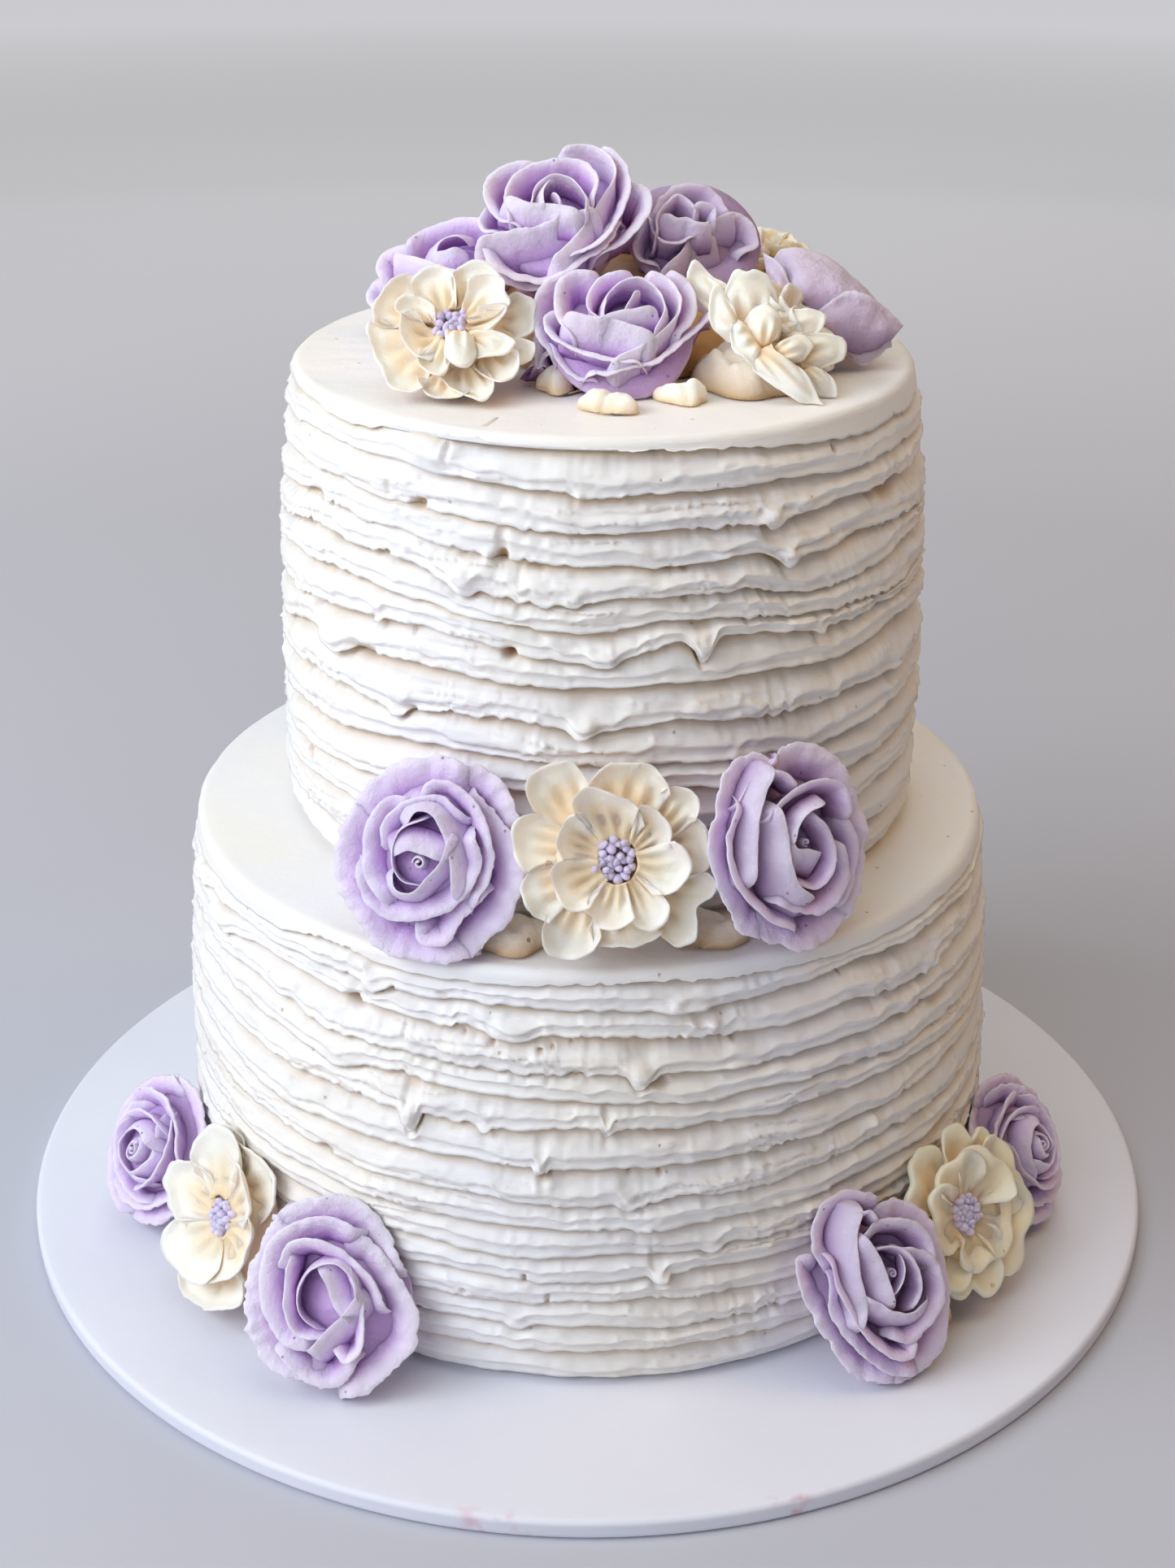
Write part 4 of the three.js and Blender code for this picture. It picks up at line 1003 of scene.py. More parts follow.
LAID_PETALS["blossom_top_left"] = (BLOSSOMS["blossom_top_left"], (
    (-1.6, 1.2, 0.4, -2, (500, 398, 506, 382, 520, 370),
     (-1, -0.4, -0.6), (462, 404, 465, 380, 477, 357, 496, 344, 518, 348)),
    (-1.6, 1.2, 0.7, -2, (504, 400, 510, 428, 530, 448),
     (-1, -0.4, -1), (474, 402, 455, 404, 456, 424, 463, 448, 475, 466, 479, 479, 496, 485, 520, 483)),
    (-1.3, 1.2, 0.4, -2, (534, 458, 548, 462, 562, 464),
     (-1, -0.8, -1), (514, 466, 522, 480, 533, 492, 549, 494, 566, 493, 578, 488)),
    (-1, 1.2, 0.4, -1.4, (556, 452, 572, 450, 588, 456),
     (-0.4, 0, -0.4), (546, 468, 560, 482, 576, 492, 592, 494, 604, 486, 607, 474, 600, 464)),
    (-1, 1.2, 0.4, -3.4, (592, 392, 594, 404, 600, 414),
     (-2.6, -2.5, -2.8), (620, 380, 641, 368, 655, 374, 659, 392, 656, 411, 636, 418)),
    (-0.8, 1.2, 0.7, -3, (596, 422, 600, 434, 606, 442),
     (-2, -1.8, -2.2), (630, 422, 648, 424, 660, 430, 656, 443, 638, 449)),
    (-1.2, 1.2, 0.4, -0.6, (582, 434, 592, 430, 604, 430),
     (0.4, 0.8, 0.4), (584, 454, 600, 468, 615, 473, 630, 468, 639, 456, 637, 440, 626, 434)),
    (-1.2, 1.1, 0.3, 0.6, (562, 380, 572, 376, 584, 378),
     (1.8, 2, 1.8), (558, 352, 565, 334, 584, 327, 602, 331, 614, 344)),
    (-1.3, 1.1, 0.5, 1, (540, 388, 548, 382, 557, 381),
     (2.6, 3.4, 2.6), (512, 366, 510, 350, 522, 337, 541, 332, 552, 337, 559, 352, 560, 370)),
    (-1.2, 1.1, 0.7, 1.2, (566, 388, 572, 393, 576, 400),
     (3, 3.8, 3.2), (578, 354, 600, 345, 618, 348, 622, 362, 627, 374, 616, 383, 598, 386)),
    (-1.6, 1.1, 0.3, 0.8, (568, 397, 571, 402, 575, 408),
     (2.4, 2.6, 2.2), (590, 386, 608, 384, 622, 384, 616, 398, 602, 409)),
    (-1.8, 1.1, 0.3, 1, (540, 396, 537, 401, 536, 408),
     (2.6, 3.2, 2.6), (500, 394, 488, 386, 489, 371, 500, 366, 519, 371, 534, 384)),
    (-2.6, 1.2, 0.3, 1.2, (537, 404, 540, 411, 545, 418),
     (3, 3.8, 3), (518, 400, 506, 387, 494, 389, 494, 404, 499, 422, 509, 440, 524, 450)),
    (-1, 1.2, 0.3, 1.4, (540, 414, 546, 420, 552, 426),
     2.4, (518, 436, 516, 452, 528, 464, 542, 466, 552, 452)),
    (1, 1.3, 0.4, 1.8, (574, 410, 580, 418, 584, 428),
     (3.2, 2.8), (600, 410, 622, 417, 632, 424, 624, 434, 602, 438, 588, 440)),
    (4.4, 1.6, 0.1, 1.8, (552, 414, 566, 411, 579, 414),
     (2.6, 3.2, 2.6), (548, 424, 549, 438, 558, 451, 574, 453, 584, 441, 585, 425)),
))
LAID_PETALS["blossom_foot_left"] = (BLOSSOMS["blossom_foot_left"], (
    (-1.3, 1.2, 0.4, -2, (286, 1462, 294, 1476, 298, 1492),
     (0, -1, -1.4), (300, 1404, 318, 1422, 336, 1440, 344, 1466, 336, 1492, 322, 1504)),
    (-1.3, 1.2, 0.6, -2, (246, 1552, 266, 1552, 288, 1550),
     (-0.6, -0.4, -1), (228, 1570, 229, 1592, 243, 1604, 262, 1612, 280, 1611, 300, 1604, 304, 1582)),
    (-1.3, 1.2, 0.4, -2, (256, 1450, 268, 1446, 282, 1448),
     (-0.6, -0.4, -0.6), (262, 1400, 272, 1386, 288, 1386, 300, 1398, 303, 1420)),
    (-1.3, 1.1, 0.4, 0.8, (262, 1476, 271, 1470, 281, 1476),
     (2, 2.4, 2), (250, 1442, 244, 1418, 252, 1400, 265, 1387, 279, 1387, 293, 1402, 296, 1426,
      290, 1450)),
    (-1.6, 1.1, 0.5, 1, (266, 1474, 262, 1486, 264, 1499),
     (2.4, 2.8, 2.4), (252, 1438, 233, 1430, 213, 1434, 207, 1448, 212, 1468, 217, 1485, 226, 1499)),
    (-1.3, 1.1, 0.6, 1.2, (264, 1502, 268, 1513, 274, 1522),
     (2.6, 2.8, 2.4), (228, 1500, 211, 1510, 205, 1523, 210, 1545, 221, 1561, 238, 1573, 257, 1577,
      268, 1568)),
    (-2.1, 1.1, 0.3, 1, (274, 1524, 281, 1516, 284, 1506),
     (2.4, 3, 2.8), (264, 1575, 283, 1572, 298, 1562, 309, 1544, 316, 1522, 312, 1500)),
    (-1.8, 1.1, 0.3, 1, (284, 1502, 285, 1490, 281, 1480),
     (2.8, 3, 2.6), (304, 1510, 308, 1484, 307, 1458, 300, 1436, 290, 1424)),
))
# The copies of the lilac that some roses take instead of it, as painted light and shade: the foremost roses a
# paler copy as painted light, most on the right a greyer copy as painted shade, and the one at the side a
# duskier copy as deeper painted shade.
ROSE_LIGHT_AND_SHADE_COPIES = {
    **dict.fromkeys(("rose_top_main", "rose_top_front", "rose_foot_left"), lit_lilac),
    **dict.fromkeys(("rose_top_right", "rose_ledge_right", "rose_foot_right", "rose_foot_far_right"), shaded_lilac),
    "rose_top_side": deep_shaded_lilac,
}

# A rose's rows from the heart outwards, for unit radius: how many petals, each one's span in degrees,
# base radius and drop in an open rose and in a cupped one, rim radius, rim height as a share of the
# heart's, where its section bends, thickness at base and rim, how ragged the rim is, how far it winds
# outwards, how much flatter than the circle it runs and how far its rim drops along it.
ROSE_ROWS = (
    dict(petals=2, span=230, base=(0.19, 0.16), drop=(5.0, 6.0), rim=0.13, crest=1.03, bend=(0.1, 0.6),
         thick=(1.2, 0.6), rag=0.2, winding=0.05, flat=0.0, slant=1.0),
    dict(petals=3, span=176, base=(0.37, 0.30), drop=(8.0, 9.5), rim=0.28, crest=0.93, bend=(-0.3, 0.5),
         thick=(1.8, 0.7), rag=0.35, winding=0.16, flat=0.28, slant=2.6),
    dict(petals=3, span=166, base=(0.44, 0.47), drop=(8.0, 10.5), rim=0.52, crest=0.74, bend=(0.1, 0.75),
         thick=(2.3, 0.75), rag=0.6, winding=0.21, flat=0.26, slant=3.2),
    dict(petals=3, span=158, base=(0.54, 0.62), drop=(7.0, 11.0), rim=0.76, crest=0.42, bend=(0.3, 0.85),
         thick=(2.6, 0.8), rag=0.9, winding=0.19, flat=0.18, slant=2.6),
    dict(petals=4, span=124, base=(0.70, 0.42), drop=(4.2, 0.8), rim=0.98, crest=-0.04, bend=(0.35, 1.1),
         thick=(3.2, 1.0), rag=1.1, winding=0.07, flat=0.03, slant=1.6),
)


def rose_heart(shells, heart, size, seed):
    """The bud's rolled tip: a ribbon wound from the middle outwards."""
    t = np.linspace(0, 1, 44)
    angle = seed * 1.7 + t * 1.35 * TURN
    radius = size * (0.03 + 0.06 * t)
    top = heart + 0.4 - 0.8 * t
    round_petal(shells, angle, (radius * 1.25, top - 5.0), (radius, top), (0.3, 0.6), (0.7, 0.5), seed, 0.15)


def rose_core(shells, heart, depth, size, seed):
    """A rose's core, from the well round its heart over its shoulder down to its flat back."""
    well = ((0.02, heart - 2.4), (0.12, heart - 2.6), (0.30, heart - 4.6), (0.46, heart - 7.0))
    shoulder = ((0.62, -1.2), (0.84, -2.2), (0.86, -3.6))
    back = ((0.74, -0.55 * depth), (0.44, -depth), (0.02, -depth))
    # The well and most of the shoulder take more painted shade than the rest.
    turned_core(shells, well + shoulder + back, size, 40, [0.6] * 6 + [0.25] * 4, seed)


def rose_petal(shells, flower, row, middle, size, seed, vary):
    """One petal: a long low wall round the heart that winds outwards, thin and ragged at its rim."""
    cup = flower.get("cup", 0.0)
    base, drop = ((1 - cup) * row[part][0] + cup * row[part][1] for part in ("base", "drop"))
    if row is ROSE_ROWS[-1] and cup:
        drop = 0.8 * flower["depth"]
    span = radians(row["span"] * (1 + 0.12 * vary[0]))
    u = np.linspace(0, 1, int(span * row["rim"] * size / 0.9) + 10)
    angle = middle + span * (u - 0.5)
    arch = np.sqrt(np.clip(u / 0.15, 0, 1) * np.clip((1 - u) / 0.09, 0, 1))
    wound = row["winding"] * (u - 0.5) * (1 + 0.3 * vary[1])
    flatter = 1 + row["flat"] * (1 - np.cos(span * (u - 0.5)))
    rim = row["rim"] * (1 + 0.05 * vary[2])
    rim_r = size * ((base + (rim - base) * (0.3 + 0.7 * arch)) * flatter + wound)
    base_r = size * (base * flatter + 0.7 * wound)
    rim_z = row["crest"] * flower["heart"] + 0.8 * vary[3] - 1.2 * (2 * u - 1.1 + 0.3 * vary[4]) ** 2
    rim_z = rim_z - row["slant"] * (1 + 0.3 * vary[5]) * (u - 0.5)
    base_z = rim_z.max() - drop
    top = base_z + (rim_z - base_z) * (0.45 + 0.55 * arch) + 0.35 * np.sin(TURN * u + 3 * vary[5])
    bend = row["bend"]
    if row["rim"] > 0.7:
        bend = (bend[0] + 0.7 * cup, bend[1] - 0.65 * cup)
    round_petal(shells, angle, (base_r, base_z + 0 * u), (rim_r, top), bend, row["thick"], seed, row["rag"])


# The roses that face the front, petal by petal from the heart outwards: how far the foot lies outside
# the rim and how far below, how ragged and how thick the rim is, and its heights and marks (from_view).
ROSE_RIMS = {}
ROSE_RIMS["rose_top_main"] = (
    (0.3, 3, 0.1, 0.8, (9, 9, 8.5), (682, 238, 686, 243, 687, 251)),
    (2, 5, 0.1, 0.7, (9.5, 9.2, 8.5), (677, 224, 669, 233, 667, 243, 668, 251)),
    (1, 7, 0.15, 0.8, (8.2, 8.7, 8), (653, 250, 660, 228, 680, 215, 705, 221, 720, 240, 718, 257)),
    (4, 6, 0.15, 0.8, (8.5, 8.5, 8.2), (627, 241, 650, 249, 680, 251, 708, 257)),
    (-2, 7, 0.4, 0.9, (6.5, 7.6, 7), (625, 268, 620, 245, 627, 222, 645, 205, 680, 196, 720, 199, 735, 215,
     731, 245)),
    (3, 11, 0.7, 1.2, (4.5, 6.5, 7.2), (592, 292, 615, 286, 645, 280, 680, 270, 704, 262, 728, 255)),
    (-3.5, 8, 0.4, 0.9, (5.4, 5.2, 5.4), (636, 279, 612, 268, 595, 243, 598, 220, 620, 203, 655, 197)),
    (-3, 7, 0.3, 0.9, (3.6, 3), (609, 286, 594, 284, 589, 270, 596, 256)),
    ((-4, 5), 10, 0.2, 1.4, (5.6, 5.5, 3.6), (692, 182, 722, 178, 750, 190, 755, 215, 740, 245, 718, 278,
     697, 303, 680, 317)),
    (-3.5, 8, 0.5, 1, (4.4, 3.8, 2.6), (742, 180, 765, 194, 776, 222, 768, 258, 748, 290, 722, 307,
     700, 315)),
    (-5, 8, 0.3, 1, (2.4, 0.6), (776, 224, 795, 230, 802, 252, 786, 282, 760, 303, 735, 316)),
    (-6, 9, 0.9, 1.2, (1.4, 1, 1.6), (592, 300, 600, 322, 622, 342, 655, 349, 690, 340, 722, 320, 748, 302,
     764, 272)),
    (-6, 8, 0.5, 1.2, (-1.5, -2, -2), (600, 325, 625, 352, 655, 358, 690, 350)),
)
ROSE_RIMS["rose_top_front"] = (
    (0.4, 4, 0.1, 0.9, (9.2, 9, 8.4), (781, 359, 776, 368, 770, 380)),
    (3, 5, 0.1, 0.8, (8.4, 8.8, 8.6), (742, 389, 762, 382, 780, 380, 798, 376)),
    (1, 8, 0.2, 1.1, (8, 8.6, 7.4), (743, 384, 745, 364, 762, 346, 785, 341, 808, 356, 817, 376, 806, 402)),
    (5, 9, 0.2, 0.9, (8, 8, 7.4), (703, 383, 722, 388, 745, 390, 772, 398, 800, 408)),
    ((4.5, -4), 10, 0.2, 1.3, (4.6, 6.4, 6.6), (756, 441, 782, 428, 806, 412, 828, 392, 837, 366, 825, 344,
     802, 333)),
    (-1.5, 8, 0.2, 0.9, (6.5, 7), (736, 393, 723, 384, 724, 360, 742, 339, 770, 333)),
    (-4, 8, 0.2, 1, (4.8, 5.2), (702, 414, 686, 394, 682, 368, 688, 344, 708, 333, 730, 334)),
    (-3, 7, 0.4, 1.1, (3.2, 3.8), (682, 381, 669, 390, 672, 408, 690, 424, 718, 437, 748, 444, 785, 448)),
    (-4, 7, 0.3, 1, (4.4, 3.4), (828, 333, 848, 348, 857, 375, 850, 400, 838, 412)),
    (-3.5, 10, 0.8, 1.3, (1.6, 3, 1.6), (727, 462, 752, 460, 780, 454, 806, 446, 830, 430, 852, 412,
     870, 396, 877, 384)),
    (-4, 9, 0.4, 1.1, (2, -0.4), (700, 333, 676, 342, 660, 362, 655, 392, 662, 418, 676, 436)),
    (-4, 8, 0.4, 1.1, (-1, -5, -3), (655, 395, 656, 420, 662, 456, 672, 440, 684, 434)),
    (-3, 8, 0.4, 1.1, (0, -1.2, -1), (676, 424, 688, 446, 712, 468, 730, 470)),
)
ROSE_RIMS["rose_top_left"] = (
    (3, 5, 0.1, 0.8, (8.6, 8.8, 8.6), (536, 310, 547, 308, 559, 304)),
    (5, 6, 0.1, 0.9, (8, 8.5, 8.4), (537, 309, 540, 299, 549, 293, 561, 292)),
    (3, 9, 0.1, 1, (5.6, 6.6, 6.6), (486, 313, 503, 315, 525, 321, 548, 329, 572, 338)),
    (-3, 8, 0.2, 1, (4.6, 5.1, 4.4), (500, 300, 516, 285, 541, 274, 566, 268, 592, 268, 615, 285, 620, 310,
     600, 335)),
    (-4, 8, 0.2, 1, (2, 3.4), (468, 345, 463, 328, 470, 312, 484, 304, 503, 301)),
    (-4.5, 8, 0.2, 1.1, (-2, -1.2, 0), (462, 382, 452, 372, 453, 358, 462, 346, 474, 342)),
)
ROSE_RIMS["rose_top_right"] = (
    (3.5, 7, 0.2, 0.9, (8.4, 8.4, 8), (823, 263, 832, 268, 846, 268, 858, 273, 868, 273)),
    (-1, 8, 0.2, 1.1, (7, 7.7, 7.4), (807, 282, 809, 266, 822, 248, 835, 239, 848, 247, 856, 256)),
    (-2, 7, 0.3, 1.1, (6.8, 7, 6.4), (853, 262, 855, 252, 868, 250, 880, 255, 881, 268)),
    (-1.5, 8, 0.3, 1.1, (5.4, 6.2), (800, 268, 804, 284, 816, 296, 834, 298, 852, 291)),
    (4, 11, 0.2, 1.3, (3, 5.3, 5), (818, 329, 834, 313, 848, 294, 864, 276, 884, 266, 900, 261)),
    (5, 12, 0.3, 1, (3, 3.6, 3.4), (843, 309, 857, 296, 875, 290)),
    (-4, 8, 0.5, 1.1, (4.6, 5, 4), (803, 262, 812, 243, 828, 231, 850, 226, 872, 231, 888, 245, 896, 260)),
    (-4, 9, 0.3, 1.1, (2, 0.6), (893, 262, 914, 267, 930, 284, 932, 301, 915, 312)),
    (-4, 9, 0.4, 1.1, (2.4, 1.6, 1.2), (798, 266, 786, 286, 779, 308, 788, 321, 806, 326)),
)
ROSE_RIMS["rose_ledge_left"] = (
    (4.5, 4, 0.1, 0.7, (8.4, 8.8, 8.4), (489, 1051, 500, 1046, 517, 1050, 537, 1058)),
    (3, 8, 0.1, 0.8, (8, 7), (549, 1034, 540, 1062, 522, 1083, 503, 1098, 487, 1093, 483, 1081)),
    (1, 8, 0.1, 0.8, (7.8, 7.8, 7), (517, 1011, 498, 1019, 483, 1046, 485, 1070, 497, 1084, 512, 1088)),
    (5, 8, 0.15, 0.8, (7, 7.5, 6.2), (500, 1012, 512, 997, 527, 999, 543, 1023, 551, 1055, 557, 1102)),
    (-3.5, 6, 0.4, 1, (5, 5.6, 5), (469, 1036, 468, 1020, 484, 994, 510, 982, 545, 980, 571, 1002)),
    (-4.5, 6, 0.6, 1.1, (5.2, 5.2, 3), (518, 977, 525, 963, 550, 960, 578, 979, 600, 1018, 606, 1060,
     598, 1090, 583, 1118)),
    (-5, 6, 0.4, 1, (4.6, 4.5, 4), (500, 980, 478, 981, 455, 1005, 446, 1045, 450, 1082, 472, 1111)),
    (-5.5, 6, 0.6, 1.2, (3.5, 4, 5.8), (438, 1066, 444, 1104, 470, 1127, 505, 1133, 545, 1124, 576, 1098,
     592, 1060, 583, 1028)),
    (-5, 4, 0.6, 1.1, (2.5, 3), (511, 1137, 512, 1155, 547, 1163, 570, 1130, 597, 1103)),
    (-9, 4, 1.2, 1.3, (0.8, 1.3, 1.1), (437, 990, 460, 956, 505, 935, 548, 934, 578, 944)),
    (-9, 4, 1.2, 1.3, (1.6, 1, -0.3), (586, 976, 612, 1000, 636, 1035, 646, 1078, 632, 1122, 603, 1156,
     578, 1179)),
    (-8, 4, 1, 1.3, (0.4, 0.4, 0), (560, 935, 592, 943, 622, 968, 641, 1012)),
    (-9, 4, 1.2, 1.3, (0.2, 0.1, -0.4), (440, 986, 415, 1032, 414, 1085, 440, 1132, 472, 1173, 520, 1186,
     578, 1179)),
)
ROSE_RIMS["rose_ledge_right"] = (
    (5.5, 6, 0.1, 0.7, (8, 7.9, 7.4), (977, 1038, 980, 1043, 993, 1044, 1008, 1048)),
    (-2, 7, 0.3, 0.9, (7.6, 7, 6), (1004, 1003, 1022, 1025, 1029, 1050, 1018, 1084, 1005, 1094, 984, 1088)),
    (1.5, 5, 0.1, 0.9, (8.4, 8.9, 9), (978, 1036, 984, 1016, 997, 1000, 1013, 990)),
    (6, 9, 0.15, 0.8, (8.2, 8, 6), (962, 997, 969, 1022, 974, 1058, 983, 1088, 1001, 1104)),
    (-3, 8, 0.3, 1.1, (6.6, 6.8, 5.6), (943, 1006, 962, 984, 990, 965, 1018, 958, 1038, 965, 1048, 1000)),
    (-1.5, 6, 0.2, 0.9, (6.8, 6.8, 6.4), (958, 949, 968, 952, 979, 963)),
    (3.5, 7, 0.2, 0.9, (6.8, 6.4, 5.2), (953, 950, 943, 973, 934, 1012, 932, 1049, 930, 1083)),
    (-3.5, 6, 0.3, 1.2, (4, 4.1, 3), (906, 990, 894, 1032, 900, 1075, 920, 1107, 950, 1135, 977, 1145)),
    (-4, 6, 0.6, 1.1, (5, 3.8), (1036, 1040, 1044, 1072, 1032, 1104, 1003, 1126, 975, 1122, 958, 1113)),
    (-2, 4, 0.2, 0.9, (3.2, 3.1, 2.6), (952, 933, 933, 952, 915, 974, 906, 987)),
    (-4, 5, 0.6, 1.2, (3.2, 2.4), (1040, 1005, 1054, 1035, 1050, 1080, 1040, 1108)),
    (-7, 4, 1, 1.3, (1, 0.7, -0.4), (950, 938, 925, 927, 893, 948, 878, 1000, 871, 1050, 890, 1105,
     912, 1148, 938, 1156)),
    (-8, 4, 1, 1.3, (0.8, 0.7, 0), (938, 945, 960, 920, 995, 916, 1035, 940, 1056, 985, 1066, 1040,
     1058, 1090, 1040, 1130)),
    (-8, 4, 1.2, 1.3, (-0.6, -0.2), (925, 1150, 955, 1163, 988, 1169, 1022, 1150, 1048, 1116)),
)
ROSE_RIMS["rose_foot_left"] = (
    (4, 5, 0.1, 0.7, (8.2, 8.3, 7.6), (393, 1566, 403, 1584, 411, 1606, 421, 1622)),
    (1, 8, 0.15, 0.8, (8, 8, 7), (437, 1598, 432, 1574, 412, 1556, 385, 1563, 366, 1594, 370, 1618,
     388, 1632)),
    (5, 8, 0.15, 0.8, (8, 7.5, 6), (436, 1598, 420, 1621, 400, 1640, 380, 1659)),
    (-2, 7, 0.4, 0.9, (6.6, 6.6, 5.8), (354, 1553, 349, 1582, 350, 1617, 364, 1643, 394, 1648)),
    (-2.5, 7, 0.4, 1, (6.6, 4.6), (432, 1565, 444, 1592, 447, 1630, 440, 1668, 424, 1678, 413, 1667)),
    (-4, 6, 0.5, 1.2, (5.8, 6.4, 4.4), (343, 1552, 350, 1534, 375, 1523, 408, 1531, 440, 1554, 463, 1580,
     474, 1607)),
    (-6, 6, 0.5, 1.1, (3.4, 3.8, 3.2), (442, 1512, 412, 1498, 372, 1500, 332, 1526, 319, 1575, 330, 1630,
     350, 1655, 378, 1662)),
    (-8, 5, 1.1, 1.3, (2.2, 1.4, 0), (436, 1514, 466, 1535, 490, 1572, 512, 1610, 511, 1655, 480, 1690,
     450, 1714, 426, 1721)),
    (-5, 4, 0.7, 1.1, (1.2, 1, 1.4), (342, 1664, 366, 1691, 398, 1708, 424, 1700, 440, 1676)),
    (-9, 4, 1.2, 1.3, (0.6, -0.2), (350, 1487, 322, 1524, 303, 1580, 304, 1640, 325, 1676, 362, 1698,
     395, 1706)),
    (-8, 4, 1, 1.3, (0.8, 1, 0.6), (340, 1494, 370, 1477, 412, 1470, 450, 1481, 478, 1516, 496, 1562)),
)
ROSE_RIMS["rose_foot_right"] = (
    (1.5, 5, 0.1, 0.8, (8, 8, 7.6), (1109, 1554, 1110, 1570, 1102, 1588)),
    (-1, 8, 0.2, 1, (7.8, 7.4, 6), (1078, 1537, 1098, 1535, 1117, 1543, 1131, 1565, 1134, 1588, 1126, 1606)),
    (5.5, 8, 0.1, 0.8, (8.2, 8.2, 7), (1068, 1525, 1081, 1544, 1092, 1572, 1101, 1604)),
    (4, 6, 0.4, 0.9, (6.4, 6.4, 5.6), (1067, 1597, 1083, 1605, 1104, 1614, 1122, 1613, 1138, 1600)),
    (-1.5, 6, 0.2, 0.9, (7.2, 6.8), (1063, 1490, 1069, 1488, 1078, 1497)),
    (5, 8, 0.2, 0.9, (7.3, 6.8, 5), (1061, 1491, 1054, 1517, 1057, 1553, 1062, 1586, 1067, 1611,
     1064, 1632)),
    (-3, 7, 0.3, 1.1, (5, 4.6, 3.6), (1021, 1554, 1031, 1590, 1052, 1626, 1078, 1658, 1106, 1674, 1124, 1668,
     1127, 1655)),
    (-4, 7, 0.3, 1.1, (6, 5.7, 4.4), (1058, 1523, 1074, 1505, 1104, 1498, 1132, 1507, 1149, 1530,
     1151, 1556)),
    (-4, 6, 0.6, 1.1, (5, 4.6, 3.6), (1112, 1534, 1140, 1540, 1158, 1565, 1162, 1592, 1146, 1628, 1118, 1653,
     1098, 1648)),
    (-5, 5, 0.6, 1.3, (1.6, 1.7, 1.4), (1078, 1472, 1045, 1463, 1012, 1480, 997, 1516, 1002, 1545,
     1014, 1562)),
    (-5, 5, 0.5, 1.2, (2.4, 2, 1.2), (1018, 1570, 1020, 1610, 1040, 1645, 1070, 1676, 1100, 1692,
     1125, 1692)),
    (-6, 4, 1, 1.3, (0.8, -0.2), (1000, 1541, 981, 1545, 980, 1580, 999, 1618, 1020, 1655, 1055, 1693,
     1098, 1702)),
    (-8, 4, 0.8, 1.3, (0.8, -0.3), (1072, 1484, 1104, 1475, 1140, 1493, 1160, 1545, 1168, 1600, 1158, 1660,
     1128, 1692, 1095, 1702)),
)
# The small rolled hearts that show in some of them: middle, height and size.
ROSE_CURLS = {
    "rose_ledge_left": (0.3, 0, 8.4, 21), "rose_ledge_right": (1, 1.5, 6.0, 14),
    "rose_foot_right": (3, 3, 5.0, 14),
}
# How far the solid heart lies below its height in these roses: in the others, and in these two.
USUAL_WELL = 3.4
WELLS = {"rose_ledge_left": 1.2, "rose_foot_left": 1.2}
MARKED_ROSE_SIZE, RULED_ROSE_SIZE, BLOSSOM_SIZE = 19.0, 21.0, 22.0      # radii before they are fitted


def marked_rose(shells, name, flower, seed):
    """A rose whose petals are given one by one."""
    heart = flower["heart"] - WELLS.get(name, USUAL_WELL)
    rose_core(shells, heart, flower["depth"], MARKED_ROSE_SIZE, seed)
    if name in ROSE_CURLS:
        x, y, height, size = ROSE_CURLS[name]
        curl = Shells()
        rose_heart(curl, height, size, seed)
        shells.add(curl.all_points() + (x, y, 0.0), curl.faces, curl.edge[0], curl.hollow[0])
    rims = [np.array(from_view(flower, *petal[4:])) for petal in ROSE_RIMS[name]]
    middle = np.concatenate(rims[:4])[:, :2].mean(axis=0)
    for number, (petal, marks) in enumerate(zip(ROSE_RIMS[name], rims)):
        rim_petal(shells, middle, *petal[:4], marks, seed * 31 + number)


def ruled_rose(shells, flower, seed):
    """A rose whose petals follow the rows, fitted to its own width and height."""
    size = RULED_ROSE_SIZE
    rose_core(shells, flower["heart"], flower["depth"], size, seed)
    rose_heart(shells, flower["heart"], size, seed)
    for row_number, row in enumerate(ROSE_ROWS):
        start = TURN * (0.5 + 0.5 * lattice(row_number, 3, 5, seed))
        for petal in range(row["petals"]):
            vary = [lattice(petal, row_number, i, seed * 13) for i in range(7)]
            middle = start + (petal + 0.12 * vary[6]) * TURN / row["petals"]
            rose_petal(shells, flower, row, middle, size, seed * 31 + row_number * 7 + petal, vary)
    shells.scale(flower["half"][0] / size, flower["half"][1] / size)


